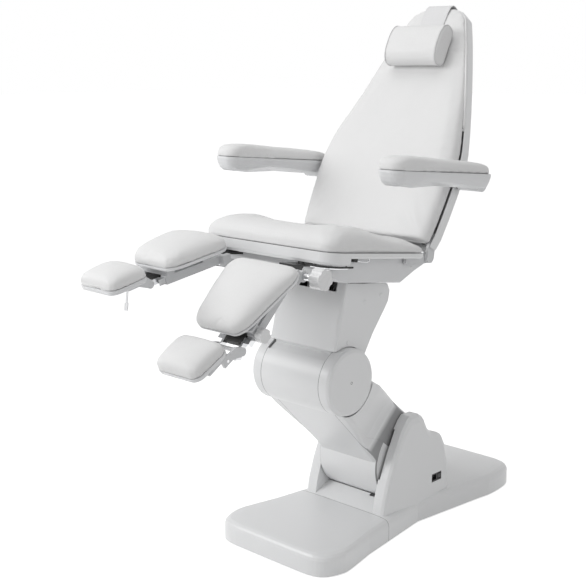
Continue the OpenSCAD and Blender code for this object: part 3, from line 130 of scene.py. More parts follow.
def through(points: Sequence[Sequence[float]], count: int, closed: bool = False) -> list[tuple[float, ...]]:
    """A smooth curve through points, as evenly spaced points.

    Args:
        points: The points to pass through, of any number of dimensions.
        count: How many points to return.
        closed: Whether the curve runs on from the last point to the first.

    Returns:
        Points on the curve.
    """
    pts = [Vector(p) for p in points]
    n = len(pts)
    spans = n if closed else n - 1
    size = [max(1e-9, (pts[(i + 1) % n] - pts[i]).length) for i in range(spans)]

    def slope(i: int) -> Vector:
        """Finds the curve's direction at a point.

        Args:
            i: The point's number.

        Returns:
            The direction, as a change over the curve's length.
        """
        before, after = (i - 1) % n, (i + 1) % n
        if not closed and i == 0:
            return (pts[1] - pts[0]) / size[0]
        if not closed and i == n - 1:
            return (pts[-1] - pts[-2]) / size[-1]
        a, b = size[(i - 1) % spans], size[i % spans]
        return ((pts[i] - pts[before]) / a * b + (pts[after] - pts[i]) / b * a) / (a + b)

    slopes = [slope(i) for i in range(n)]
    total = sum(size)
    result = []
    for k in range(count):
        want = total * k / (count if closed else count - 1)
        i = 0
        while i < spans - 1 and want > size[i]:
            want -= size[i]
            i += 1
        t = min(1.0, want / size[i])
        p, q, a, b = pts[i], pts[(i + 1) % n], slopes[i] * size[i], slopes[(i + 1) % n] * size[i]
        at = (p * (2 * t ** 3 - 3 * t ** 2 + 1) + a * (t ** 3 - 2 * t ** 2 + t)
              + q * (3 * t ** 2 - 2 * t ** 3) + b * (t ** 3 - t ** 2))
        result.append(tuple(at))
    return result


def drawn_in(ring: Iterable[Flat], centre: Flat, share: float) -> list[Flat]:
    """Returns a flat ring scaled about a centre."""
    return [(centre[0] + (x - centre[0]) * share, centre[1] + (y - centre[1]) * share) for x, y in ring]


# Places in the chair


@dataclass(frozen=True)
class Layout:
    """Where the chair's moving frames stand at rest."""

    seat_origin: Point = (0, -0.555, 0.984)
    seat_tilt: float = 7.2
    back_origin: Point = (0, -0.090, 0.930)
    back_lean: float = 28.0
    arm_origin: Point = (0.326, -0.400, 1.204)
    arm_lean: float = 5.3
    leg_x: float = 0.147
    leg_pin_v: float = 0.030
    leg_hinge: Flat = (-0.608, 0.921)
    leg_angles: tuple[float, float] = (45.0, 10.0)
    right_leg_swing: float = 3.0
    foot_at: float = 0.272
    foot_n: float = 0.022
    foot_angles: tuple[float, float] = (-13.0, 3.0)

    @staticmethod
    def tip(origin: Point, degrees: float) -> Matrix:
        """Returns a frame at origin that is turned about X."""
        return Matrix.Translation(origin) @ Matrix.Rotation(math.radians(degrees), 4, "X")

    def seat(self) -> Matrix:
        """Returns the seat's frame: y runs back from its front edge, z rises from its seam."""
        return self.tip(self.seat_origin, -self.seat_tilt)

    def back(self) -> Matrix:
        """Returns the back's frame: z runs up the back, y to its rear."""
        return self.tip(self.back_origin, -self.back_lean)

    def arm(self, side: Side) -> Matrix:
        """Returns an armrest's frame: y runs back from its front end, z rises from its seam."""
        return Matrix.Scale(side.value, 4, (1, 0, 0)) @ self.tip(self.arm_origin, -self.arm_lean)

    def hinge(self, side: Side) -> Matrix:
        """Places a leg rest.

        Args:
            side: Which leg rest.

        Returns:
            Its frame, with its zero on the hinge.
        """
        y, z = turned((self.leg_pin_v, 0), -self.seat_tilt)
        y, z = y + self.seat_origin[1], z + self.seat_origin[2]
        tilt = Matrix.Rotation(math.radians(self.seat_tilt), 4, "X")
        swing = Matrix.Rotation(math.radians(self.right_leg_swing if side is Side.RIGHT else 0), 4, "Z")
        place = (Matrix.Translation((side.value * self.leg_x, y, z)) @ Matrix.Scale(side.value, 4, (1, 0, 0))
                 @ tilt.inverted() @ swing @ tilt @ Matrix.Translation((0, -y, -z)))
        angle = self.leg_angles[0 if side is Side.LEFT else 1]
        return place @ self.tip((0, *self.leg_hinge), angle)

    def foot(self, side: Side) -> Matrix:
        """Returns a foot rest's frame, at the end of its leg rest."""
        angle = self.foot_angles[0 if side is Side.LEFT else 1]
        return self.hinge(side) @ self.tip((0, -self.foot_at, self.foot_n), angle)


LAYOUT = Layout()


# Meshes


def make_object(name: str, vertices: Iterable[Sequence[float]], faces: Iterable[Sequence[int]],
                place: Matrix | None = None, edges: Iterable[Sequence[int]] = ()) -> bpy.types.Object:
    """A mesh object at the origin, with its place in its mesh.

    Args:
        name: The piece's name.
        vertices: Points in the piece's own frame.
        faces: Indices of each face's points.
        place: The piece's own frame.
        edges: Loose edges, for a path.

    Returns:
        The object, linked to the scene.
    """
    mesh = bpy.data.meshes.new(name)
    mesh.from_pydata([tuple(v) for v in vertices], [tuple(e) for e in edges], [tuple(f) for f in faces])
    if place is not None:
        mesh.transform(place)
    obj = bpy.data.objects.new(name, mesh)
    bpy.context.scene.collection.objects.link(obj)
    return obj


def close_up(obj: bpy.types.Object, sharp: float | None = None) -> bpy.types.Object:
    """Merges doubles, turns the faces outwards and shades them smooth.

    Args:
        obj: The piece.
        sharp: Angle in degrees over which an edge stays sharp.

    Returns:
        The same piece.
    """
    bm = bmesh.new()
    bm.from_mesh(obj.data)
    bmesh.ops.remove_doubles(bm, verts=bm.verts, dist=MERGE_UNDER)
    bmesh.ops.recalc_face_normals(bm, faces=bm.faces)
    bm.to_mesh(obj.data)
    bm.free()
    obj.data.polygons.foreach_set("use_smooth", [True] * len(obj.data.polygons))
    if sharp is not None:
        obj.data.set_sharp_from_angle(angle=math.radians(sharp))
    return obj


def loft(name: str, rings: Sequence[Sequence[Sequence[float]]], place: Matrix | None = None,
         sharp: float | None = None) -> bpy.types.Object:
    """A closed skin through rings with equal numbers of points.

    Args:
        name: The piece's name.
        rings: The rings, each a list of points.
        place: The piece's own frame.
        sharp: Angle in degrees over which an edge stays sharp.

    Returns:
        The piece.
    """
    n = len(rings[0])
    vertices = [p for ring in rings for p in ring]
    faces: list[list[int]] = []
    for k in range(len(rings) - 1):
        for i in range(n):
            j = (i + 1) % n
            faces.append([k * n + i, k * n + j, (k + 1) * n + j, (k + 1) * n + i])
    for k in (0, len(rings) - 1):
        middle = Vector((0, 0, 0))
        for p in rings[k]:
            middle += Vector(p) / n
        vertices.append(tuple(middle))
        faces += [[k * n + i, k * n + (i + 1) % n, len(vertices) - 1] for i in range(n)]
    return close_up(make_object(name, vertices, faces, place), sharp=sharp)


def tube(name: str, path: Sequence[Sequence[float]], radius: float | Callable[[float], float],
         place: Matrix | None = None, sides: int = 12) -> bpy.types.Object:
    """A round bar along an open path, with domed ends.

    Args:
        name: The piece's name.
        path: The points of its centre line.
        radius: Its radius, or a rule that gives it for each share of the path.
        place: The piece's own frame.
        sides: Points round the bar.

    Returns:
        The piece.
    """
    pts = [Vector(p) for p in path]
    n = len(pts)
    rule = radius if callable(radius) else (lambda _t: radius)
    up = Vector((0, 0, 1))
    rings: list[Ring] = []
    for i, p in enumerate(pts):
        ahead, behind = pts[min(i + 1, n - 1)], pts[max(i - 1, 0)]
        along = (ahead - behind).normalized()
        if abs(along.dot(up)) > 0.98:
            up = Vector((0, 1, 0)) if abs(along.y) < 0.9 else Vector((1, 0, 0))
        across = along.cross(up).normalized()
        up = across.cross(along).normalized()
        r = rule(i / (n - 1))
        rings.append([tuple(p + (across * math.cos(a) + up * math.sin(a)) * r)
                      for a in (math.tau * k / sides for k in range(sides))])
        if i in (0, n - 1):
            out = along * (-1 if i == 0 else 1)
            caps = [[tuple(Vector(q) + (p - Vector(q)) * (1 - c) + out * (r * d)) for q in rings[-1]]
                    for c, d in ((0.8, 0.3), (0.45, 0.46))]
            rings = caps[::-1] + rings if i == 0 else rings + caps
    return loft(name, rings, place)


def turned_part(name: str, profile: Sequence[Flat], place: Matrix, sides: int = 40) -> bpy.types.Object:
    """A part turned about its own z.

    Args:
        name: The piece's name.
        profile: Radius and height of each point of its outline, from bottom to top.
        place: The piece's own frame.
        sides: Points round it.

    Returns:
        The piece.
    """
    rings = [[(r * math.cos(math.tau * k / sides), r * math.sin(math.tau * k / sides), z)
              for k in range(sides)] for r, z in profile]
    return loft(name, rings, place, sharp=TURNED_SHARP)


def bake(obj: bpy.types.Object) -> bpy.types.Object:
    """Turns a piece and its modifiers into a plain mesh.

    Args:
        obj: The piece.

    Returns:
        The same piece, without modifiers.
    """
    graph = bpy.context.evaluated_depsgraph_get()
    mesh = bpy.data.meshes.new_from_object(obj.evaluated_get(graph))
    mesh.name = obj.name
    obj.modifiers.clear()
    old = obj.data
    obj.data = mesh
    bpy.data.meshes.remove(old)
    return obj


def joined(name: str, parts: Sequence[bpy.types.Object]) -> bpy.types.Object:
    """Joins pieces of one finish into one mesh.

    Args:
        name: The new piece's name.
        parts: The pieces, which are removed.

    Returns:
        The new piece.
    """
    bm = bmesh.new()
    for part in parts:
        bm.from_mesh(part.data)
    mesh = bpy.data.meshes.new(name)
    bm.to_mesh(mesh)
    bm.free()
    for part in parts:
        old = part.data
        bpy.data.objects.remove(part)
        bpy.data.meshes.remove(old)
    obj = bpy.data.objects.new(name, mesh)
    bpy.context.scene.collection.objects.link(obj)
    return obj


def widened(obj: bpy.types.Object) -> bpy.types.Object:
    """Gives a piece a live subdivision surface, the same in the view and the render.

    Args:
        obj: The piece.

    Returns:
        The same piece.
    """
    modifier = obj.modifiers.new("Subdivision", "SUBSURF")
    modifier.levels = modifier.render_levels = 1
    return obj


@dataclass(frozen=True)
class Filling:
    """How far a pad swells when it is stuffed."""

    voxel: float = 0.005
    pressure: float = 4.0
    cap: float = 0.005
    held: float = 0.006
    frames: int = 20
    stiffness: float = 18.0


def stuff(obj: bpy.types.Object, filling: Filling, place: Matrix) -> bpy.types.Object:
    """Swells a closed pad as cloth under pressure, with its flat underside held.

    Args:
        obj: The pad, slightly smaller than it ends.
        filling: How far it may swell.
        place: The pad's own frame, whose z rises from the underside.

    Returns:
        The same pad, as a plain mesh.
    """
    remesh = obj.modifiers.new("Remesh", "REMESH")
    remesh.mode = "VOXEL"
    remesh.voxel_size = filling.voxel
    remesh.use_smooth_shade = True
    bake(obj)
    start = [v.co.copy() for v in obj.data.vertices]
    inverse = place.inverted()
    held = [i for i, co in enumerate(start) if (inverse @ co).z < filling.held]
    group = obj.vertex_groups.new(name="held")
    group.add(held, 1.0, "REPLACE")
    cloth = obj.modifiers.new("Cloth", "CLOTH")
    settings = cloth.settings
    settings.quality = 5
    settings.mass = 0.25
    settings.tension_stiffness = settings.compression_stiffness = filling.stiffness
    settings.shear_stiffness = filling.stiffness * 0.5
    settings.bending_stiffness = 0.8
    settings.use_pressure = True
    settings.uniform_pressure_force = filling.pressure
    settings.vertex_group_mass = "held"
    settings.effector_weights.gravity = 0
    cloth.point_cache.frame_start = 1
    cloth.point_cache.frame_end = filling.frames
    scene = bpy.context.scene
    for step in range(1, filling.frames + 1):
        scene.frame_set(step)
    bake(obj)
    for vertex, before in zip(obj.data.vertices, start):
        move = vertex.co - before
        if move.length > filling.cap:
            vertex.co = before + move * (filling.cap / move.length)
    scene.frame_set(1)
    obj.vertex_groups.clear()
    return obj


def ruffled(obj: bpy.types.Object, place: Matrix, rule: Callable[[Vector], float]) -> bpy.types.Object:
    """Moves each point of a pad along its normal.

    Args:
        obj: The pad.
        place: The pad's own frame.
        rule: Gives how far a point, in the pad's own frame, moves outwards.

    Returns:
        The same pad.
    """
    inverse = place.inverted()
    normals = [v.normal.copy() for v in obj.data.vertices]
    for vertex, normal in zip(obj.data.vertices, normals):
        vertex.co += normal * rule(inverse @ vertex.co)
    obj.data.update()
    return obj


# Trees of nodes


class Wiring:
    """Adds nodes to one tree and joins their sockets."""

    def __init__(self, tree: bpy.types.NodeTree) -> None:
        """Keeps the tree that the nodes go into."""
        self.tree = tree

    def add(self, kind: str, inputs: dict[str | int, object] | None = None, tree: bpy.types.NodeTree | None = None,
            **settings: object) -> bpy.types.Node:
        """Adds one node.

        Args:
            kind: The node's type.
            inputs: A value or another node's output for each input, by name or place.
            tree: The group that a group node stands for.
            **settings: The node's own properties.

        Returns:
            The node.
        """
        node = self.tree.nodes.new(kind)
        node.location = (len(self.tree.nodes) * 190, 0)
        if tree is not None:
            node.node_tree = tree
        for key, value in settings.items():
            setattr(node, key, value)
        for key, value in (inputs or {}).items():
            self.feed(node.inputs[key], value)
        return node

    def feed(self, socket: bpy.types.NodeSocket, value: object) -> None:
        """Joins an output to a socket, or sets its value.

        Args:
            socket: The input to fill.
            value: Another node's output, or a plain value.
        """
        if isinstance(value, bpy.types.NodeSocket):
            self.tree.links.new(value, socket)
        else:
            socket.default_value = value

    def group(self, tree: bpy.types.NodeTree, at: bpy.types.NodeSocket, **values: object) -> bpy.types.Node:
        """Adds a shader group.

        Args:
            tree: The group.
            at: The coordinates for its input Vector.
            **values: A value or another node's output for each other input that changes.

        Returns:
            The group's node.
        """
        return self.add("ShaderNodeGroup", {"Vector": at, **values}, tree)

    def noise_at(self, at: bpy.types.NodeSocket, scale: object, detail: float, **more: float) -> bpy.types.Node:
        """Returns a noise texture of a given scale and detail."""
        return self.add("ShaderNodeTexNoise", {"Vector": at, "Scale": scale, "Detail": detail, **more})

    def weighed(self, a: object, share_a: float, b: object, share_b: float) -> bpy.types.NodeSocket:
        """Returns the sum of a share of each of two values."""
        return self.maths("ADD", self.maths("MULTIPLY", a, share_a), self.maths("MULTIPLY", b, share_b))

    def maths(self, operation: str, *values: object, clamp: bool = False) -> bpy.types.NodeSocket:
        """Returns the output of one sum on plain values."""
        node = self.add("ShaderNodeMath", dict(enumerate(values)), operation=operation, use_clamp=clamp)
        return node.outputs[0]

    def mix(self, factor: object, a: object, b: object, blend: str = "MIX") -> bpy.types.NodeSocket:
        """Returns the output of two mixed colours."""
        node = self.add("ShaderNodeMix", {0: factor, 6: a, 7: b}, data_type="RGBA", blend_type=blend)
        return node.outputs[2]

    def ranged(self, value: object, low: float, high: float, to_low: float, to_high: float) -> bpy.types.NodeSocket:
        """Returns a value carried from one range to another, and held there."""
        node = self.add("ShaderNodeMapRange", {0: value, 1: low, 2: high, 3: to_low, 4: to_high}, clamp=True)
        return node.outputs[0]


class Effects:
    """The shader node groups that more than one finish uses, each built once."""

    @staticmethod
    def start(name: str, inputs: dict[str, object], outputs: dict[str, str]) -> tuple[Wiring, bpy.types.Node]:
        """Begins a group.

        Args:
            name: The group's name.
            inputs: Each input's first value; a tuple stands for a colour, None for a vector.
            outputs: Each output's kind: Float, Color or Vector.

        Returns:
            The group's wiring and its input node.
        """
        tree = bpy.data.node_groups.new(name, "ShaderNodeTree")
        for key, value in inputs.items():
            kind = "Vector" if value is None else "Color" if isinstance(value, tuple) else "Float"
            socket = tree.interface.new_socket(key, in_out="INPUT", socket_type="NodeSocket" + kind)
            if value is not None:
                socket.default_value = value
        for key, kind in outputs.items():
            tree.interface.new_socket(key, in_out="OUTPUT", socket_type="NodeSocket" + kind)
        wiring = Wiring(tree)
        return wiring, wiring.add("NodeGroupInput")

    @staticmethod
    @cache
    def grain() -> bpy.types.NodeTree:
        """The pebbled grain of coated cloth, with fine creases between the pebbles.

        Returns:
            The group, which gives a height, and a tone that is low in the creases between the pebbles, where the
            leatherette takes painted shade.
        """
        w, given = Effects.start("PebbleGrain", {"Vector": None, "Pebbles": 900.0, "Creases": 60.0},
                             {"Height": "Float", "Tone": "Float"})
        at, pebbles, creases = given.outputs[:3]
        bent = w.noise_at(at, w.maths("MULTIPLY", pebbles, 0.4), 2.0)
        push = w.add("ShaderNodeVectorMath", {0: bent.outputs[1], "Scale": 0.0008}, operation="SCALE")
        pushed = w.add("ShaderNodeVectorMath", {0: at, 1: push.outputs[0]}, operation="ADD")
        cells = w.add("ShaderNodeTexVoronoi", {"Vector": pushed.outputs[0], "Scale": pebbles},
                      feature="DISTANCE_TO_EDGE")
        pebble = w.ranged(cells.outputs[0], 0.0, 0.32, 0.0, 1.0)
        broad = w.noise_at(at, creases, 4.0, Roughness=0.6)
        both = w.weighed(pebble, 0.55, broad.outputs[0], 0.45)
        out = w.add("NodeGroupOutput")
        w.feed(out.inputs["Height"], both)
        # the tone output is what the leatherette darkens as painted shade in the creases
        w.feed(out.inputs["Tone"], pebble)
        return w.tree

    @staticmethod
    @cache
    def patina() -> bpy.types.NodeTree:
        """The slow drift of a finish between a clean tone and a handled one.

        Returns:
            The group, which gives the colour and the mask of the handled places.
        """
        w, given = Effects.start("HandledTone", {"Vector": None, "Clean": (0.8, 0.8, 0.8, 1.0),
                                             "Handled": (0.7, 0.7, 0.7, 1.0), "Size": 3.0, "Amount": 0.3},
                             {"Color": "Color", "Mask": "Float"})
        at, clean, handled, size, amount = given.outputs[:5]
        broad = w.noise_at(at, size, 3.0, Roughness=0.55)
        fine = w.noise_at(at, w.maths("MULTIPLY", size, 17.0), 2.0)
        both = w.weighed(broad.outputs[0], 0.7, fine.outputs[0], 0.3)
        mask = w.ranged(both, 0.3, 0.72, 0.0, 1.0)
        out = w.add("NodeGroupOutput")
        w.feed(out.inputs["Color"], w.mix(w.maths("MULTIPLY", mask, amount), clean, handled))
        w.feed(out.inputs["Mask"], mask)
        return w.tree

    @staticmethod
    @cache
    def mould() -> bpy.types.NodeTree:
        """The faint orange peel of a moulded or sprayed skin.

        Returns:
            The group, which gives a height and a gloss.
        """
        w, given = Effects.start("MouldSkin", {"Vector": None, "Stipple": 420.0, "Waves": 14.0},
                             {"Height": "Float", "Gloss": "Float"})
        at, stipple, waves = given.outputs[:3]
        fine = w.noise_at(at, stipple, 1.0)
        broad = w.noise_at(at, waves, 2.0)
        both = w.weighed(fine.outputs[0], 0.35, broad.outputs[0], 0.65)
        out = w.add("NodeGroupOutput")
        w.feed(out.inputs["Height"], both)
        w.feed(out.inputs["Gloss"], w.ranged(broad.outputs[0], 0.35, 0.65, 0.0, 1.0))
        return w.tree

    @staticmethod
    @cache
    def scuffs() -> bpy.types.NodeTree:
        """Fine scratches and rubbed spots.

        Returns:
            The group, which gives a mask of each.
        """
        w, given = Effects.start("ScuffMarks", {"Vector": None, "Size": 40.0, "Stretch": 12.0},
                             {"Mask": "Float", "Spots": "Float"})
        at, size, stretch = given.outputs[:3]
        along = w.add("ShaderNodeCombineXYZ", {0: stretch, 1: 1.0, 2: 1.0})
        pulled = w.add("ShaderNodeVectorMath", {0: at, 1: along.outputs[0]}, operation="MULTIPLY")
        lines = w.noise_at(pulled.outputs[0], size, 5.0)
        spots = w.noise_at(at, w.maths("MULTIPLY", size, 0.5), 6.0, Roughness=0.7)
        out = w.add("NodeGroupOutput")
        w.feed(out.inputs["Mask"], w.ranged(lines.outputs[0], 0.52, 0.7, 0.0, 1.0))
        w.feed(out.inputs["Spots"], w.ranged(spots.outputs[0], 0.58, 0.72, 0.0, 1.0))
        return w.tree


# Finishes

SPRAYED_SKIN = {"Stipple": 1100.0, "Waves": 90.0}
METAL_MARKS = 90.0
COVER_TONES = ((0.79, 0.795, 0.80), (0.765, 0.77, 0.775), 0.08, 1.6)
COVER_GLOSS = {"roughness": (0.3, 0.315), "strength": 0.0}


@dataclass(frozen=True)
class Finish:
    """What every finish shares: a name, a tone and how the tone drifts."""

    name: str
    tone: Colour
    handled: Colour
    drift: float = 0.3
    patch: float = 3.0

    def begin(self) -> tuple[Wiring, bpy.types.Node, bpy.types.NodeSocket, bpy.types.Node]:
        """Starts the material.

        Returns:
            Its wiring, its shader, the Object coordinates and the node of the drifting tone.
        """
        material = bpy.data.materials.new(self.name)
        material.use_nodes = True
        w = Wiring(material.node_tree)
        shader = material.node_tree.nodes["Principled BSDF"]
        at = w.add("ShaderNodeTexCoord").outputs["Object"]
        tone = w.group(Effects.patina(), at, Clean=(*self.tone, 1.0), Handled=(*self.handled, 1.0), Size=self.patch,
                       Amount=self.drift)
        w.feed(shader.inputs["Base Color"], tone.outputs["Color"])
        return w, shader, at, tone

    def raise_skin(self, w: Wiring, shader: bpy.types.Node, height: bpy.types.NodeSocket, depth: float,
                   strength: float) -> None:
        """Feeds a height to the shader's normal through a bump.

        Args:
            w: The material's wiring.
            shader: Its shader.
            height: The height.
            depth: How far a height of one stands out.
            strength: The bump's strength.
        """
        bump = w.add("ShaderNodeBump", {"Strength": strength, "Distance": depth, "Height": height})
        w.feed(shader.inputs["Normal"], bump.outputs[0])

    def build(self) -> bpy.types.Material:
        """Returns the finish as a new material."""
        raise NotImplementedError

    def material(self) -> bpy.types.Material:
        """Returns the finish's material, built on its first use."""
        return bpy.data.materials.get(self.name) or self.build()


@dataclass(frozen=True)
class Leatherette(Finish):
    """Coated upholstery cloth with a soft satin pebble."""

    pebbles: float = 950.0
    roughness: Flat = (0.44, 0.56)
    sheen: float = 0.06

    def build(self) -> bpy.types.Material:
        """Builds the leatherette: grain in the bump, and painted shade darkening the hollows between the pebbles.

        Returns:
            The material.
        """
        w, shader, at, tone = self.begin()
        grain = w.group(Effects.grain(), at, Pebbles=self.pebbles, Creases=55.0)
        # painted shade: the base colour darkens down to 0.93 in the creases between the pebbles
        hollow_shade = w.ranged(grain.outputs["Tone"], 0.0, 0.5, 0.93, 1.0)
        shaded = w.mix(1.0, tone.outputs["Color"], hollow_shade, "MULTIPLY")
        w.feed(shader.inputs["Base Color"], shaded)
        w.feed(shader.inputs["Roughness"], w.ranged(tone.outputs["Mask"], 0.0, 1.0, *self.roughness))
        shader.inputs["Sheen Weight"].default_value = self.sheen
        shader.inputs["Sheen Roughness"].default_value = 0.4
        shader.inputs["Specular IOR Level"].default_value = 0.42
        self.raise_skin(w, shader, grain.outputs["Height"], 0.0005, 0.5)
        return bpy.data.materials[self.name]


@dataclass(frozen=True)
class Moulded(Finish):
    """Moulded or vacuum-formed plastic with a faint orange peel."""

    roughness: Flat = (0.26, 0.36)
    depth: float = 0.0003
    strength: float = 0.06
    seams: tuple[Flat, ...] = ()
    seam_half: Flat = (0.0006, 0.0015)
    # painted shadow: the dark tone of the line drawn along each joint
    joint_shadow_tone: Colour = (0.2, 0.2, 0.205)

    def dress(self, w: Wiring, shader: bpy.types.Node, at: bpy.types.NodeSocket) -> None:
        """Gives the shader its skin and gloss.

        Args:
            w: The material's wiring.
            shader: Its shader.
            at: The Object coordinates.
        """
        skin = w.group(Effects.mould(), at, Stipple=420.0, Waves=14.0)
        w.feed(shader.inputs["Roughness"], w.ranged(skin.outputs["Gloss"], 0.0, 1.0, *self.roughness))
        self.raise_skin(w, shader, skin.outputs["Height"], self.depth, self.strength)

    def with_joint_shadows(self, w: Wiring, at: bpy.types.NodeSocket, colour: object) -> object:
        """Paints shadow into the joints between covers: a dark line along each, for the shade in its gap.

        A joint whose place is above zero is on both sides of the chair's middle.

        Args:
            w: The material's wiring.
            at: The Object coordinates.
            colour: The colour so far.

        Returns:
            The colour with its joints.
        """
        apart = w.add("ShaderNodeSeparateXYZ", {0: at})
        for axis, place in self.seams:
            along = apart.outputs[int(axis)]
            if place > 0:
                along = w.maths("ABSOLUTE", along)
            off = w.maths("ABSOLUTE", w.maths("SUBTRACT", along, place))
            # painted shadow: the colour darkens towards this tone close to the joint
            colour = w.mix(w.ranged(off, *self.seam_half, 0.8, 0.0), colour, (*self.joint_shadow_tone, 1.0))
        return colour

    def build(self) -> bpy.types.Material:
        """Builds the moulded plastic, with painted shadow along its joints.

        Returns:
            The material.
        """
        w, shader, at, tone = self.begin()
        if self.seams:
            w.feed(shader.inputs["Base Color"], self.with_joint_shadows(w, at, tone.outputs["Color"]))
        self.dress(w, shader, at)
        return bpy.data.materials[self.name]


@dataclass(frozen=True)
class HollowMoulded(Moulded):
    """Moulded plastic whose inside, seen through an opening, is painted near-black as painted shade for the unlit
    inside.
    """

    # painted shade: the near-black colour given to the unlit inside of the cover
    inside_shade: Colour = (0.012, 0.012, 0.013)
    origin: Point = (0, 0, 0)
    degrees: float = 0.0
    low: Point = (0, 0, 0)
    high: Point = (0, 0, 0)

    def build(self) -> bpy.types.Material:
        """Builds the plastic, with painted shade (near-black) inside a box that is turned about X at its origin.

        Returns:
            The material.
        """
        w, shader, at, tone = self.begin()
        local = w.add("ShaderNodeMapping", {"Vector": at, "Location": self.origin,
                                            "Rotation": (math.radians(self.degrees), 0, 0)}, vector_type="TEXTURE")
        apart = w.add("ShaderNodeSeparateXYZ", {0: local.outputs[0]})
        mask: object = 1.0
        for axis in range(3):
            over = w.maths("GREATER_THAN", apart.outputs[axis], self.low[axis])
            under = w.maths("LESS_THAN", apart.outputs[axis], self.high[axis])
            mask = w.maths("MULTIPLY", mask, w.maths("MULTIPLY", over, under))
        # painted shade: near-black inside the turned box, the cover's own tone elsewhere
        w.feed(shader.inputs["Base Color"], w.mix(mask, tone.outputs["Color"], (*self.inside_shade, 1.0)))
        self.dress(w, shader, at)
        return bpy.data.materials[self.name]


@dataclass(frozen=True)
class TwoToneFrame(Finish):
    """Coated frame, black inside the chair and pale on the outer plates that show at its sides."""

    outer: Colour = (0.66, 0.665, 0.675)
    from_x: float = 0.2235

    def build(self) -> bpy.types.Material:
        """Builds the coat, split where the distance from the chair's middle reaches from_x.

        Returns:
            The material.
        """
        w, shader, at, tone = self.begin()
        apart = w.add("ShaderNodeSeparateXYZ", {0: at})
        far = w.maths("GREATER_THAN", w.maths("ABSOLUTE", apart.outputs[0]), self.from_x)
        skin = w.group(Effects.mould(), at, **SPRAYED_SKIN)
        w.feed(shader.inputs["Base Color"], w.mix(far, tone.outputs["Color"], (*self.outer, 1.0)))
        w.feed(shader.inputs["Roughness"], w.ranged(skin.outputs["Gloss"], 0.0, 1.0, 0.34, 0.46))
        self.raise_skin(w, shader, skin.outputs["Height"], 0.0003, 0.3)
        return bpy.data.materials[self.name]


@dataclass(frozen=True)
class Sprayed(Finish):
    """Powder-coated steel, rubbed through in small spots."""

    roughness: Flat = (0.38, 0.5)
    bare: Colour = (0.42, 0.42, 0.43)
    wear: float = 0.35

    def build(self) -> bpy.types.Material:
        """Builds the coat, with bare metal in its rubbed spots.

        Returns:
            The material.
        """
        w, shader, at, tone = self.begin()
        marks = w.group(Effects.scuffs(), at, Size=60.0, Stretch=6.0)
        skin = w.group(Effects.mould(), at, **SPRAYED_SKIN)
        worn = w.maths("MULTIPLY", marks.outputs["Spots"], self.wear)
        w.feed(shader.inputs["Base Color"], w.mix(worn, tone.outputs["Color"], (*self.bare, 1.0)))
        w.feed(shader.inputs["Metallic"], w.maths("MULTIPLY", worn, 0.8))
        w.feed(shader.inputs["Roughness"], w.ranged(marks.outputs["Mask"], 0.0, 1.0, *self.roughness))
        self.raise_skin(w, shader, skin.outputs["Height"], 0.0003, 0.35)
        return bpy.data.materials[self.name]


@dataclass(frozen=True)
class Bright(Finish):
    """Polished or brushed metal."""

    roughness: Flat = (0.08, 0.2)

    def build(self) -> bpy.types.Material:
        """Builds the metal, dulled along its fine scratches.

        Returns:
            The material.
        """
        w, shader, at, _tone = self.begin()
        marks = w.group(Effects.scuffs(), at, Size=METAL_MARKS, Stretch=14.0)
        shader.inputs["Metallic"].default_value = 1.0
        w.feed(shader.inputs["Roughness"], w.ranged(marks.outputs["Mask"], 0.0, 1.0, *self.roughness))
        self.raise_skin(w, shader, marks.outputs["Mask"], 0.00005, 0.2)
        return bpy.data.materials[self.name]


@dataclass(frozen=True)
class BarOnPlate(Finish):
    """Black plate with a bright bar through it: one part, two finishes."""

    plate: Colour = (0.02, 0.02, 0.021)
    axis_at: Point = (0, 0, 0)
    axis_along: Point = (1, 0, 0)
    bar_radius: float = 0.0108

    def build(self) -> bpy.types.Material:
        """Builds the finish: bright within the bar's radius of its axis, coated black elsewhere.

        Returns:
            The material.
        """
        w, shader, at, tone = self.begin()
        away = w.add("ShaderNodeVectorMath", {0: at, 1: self.axis_at}, operation="SUBTRACT")
        axis = tuple(Vector(self.axis_along).normalized())
        crossed = w.add("ShaderNodeVectorMath", {0: away.outputs[0], 1: axis}, operation="CROSS_PRODUCT")
        far = w.add("ShaderNodeVectorMath", {0: crossed.outputs[0]}, operation="LENGTH")
        bar = w.maths("LESS_THAN", far.outputs["Value"], self.bar_radius)
        marks = w.group(Effects.scuffs(), at, Size=METAL_MARKS, Stretch=8.0)
        w.feed(shader.inputs["Base Color"], w.mix(bar, (*self.plate, 1.0), tone.outputs["Color"]))
        w.feed(shader.inputs["Metallic"], bar)
        dull = w.ranged(marks.outputs["Mask"], 0.0, 1.0, 0.3, 0.42)
        w.feed(shader.inputs["Roughness"], w.maths("SUBTRACT", dull, w.maths("MULTIPLY", bar, 0.18)))
        self.raise_skin(w, shader, marks.outputs["Mask"], 0.00005, 0.2)
        return bpy.data.materials[self.name]


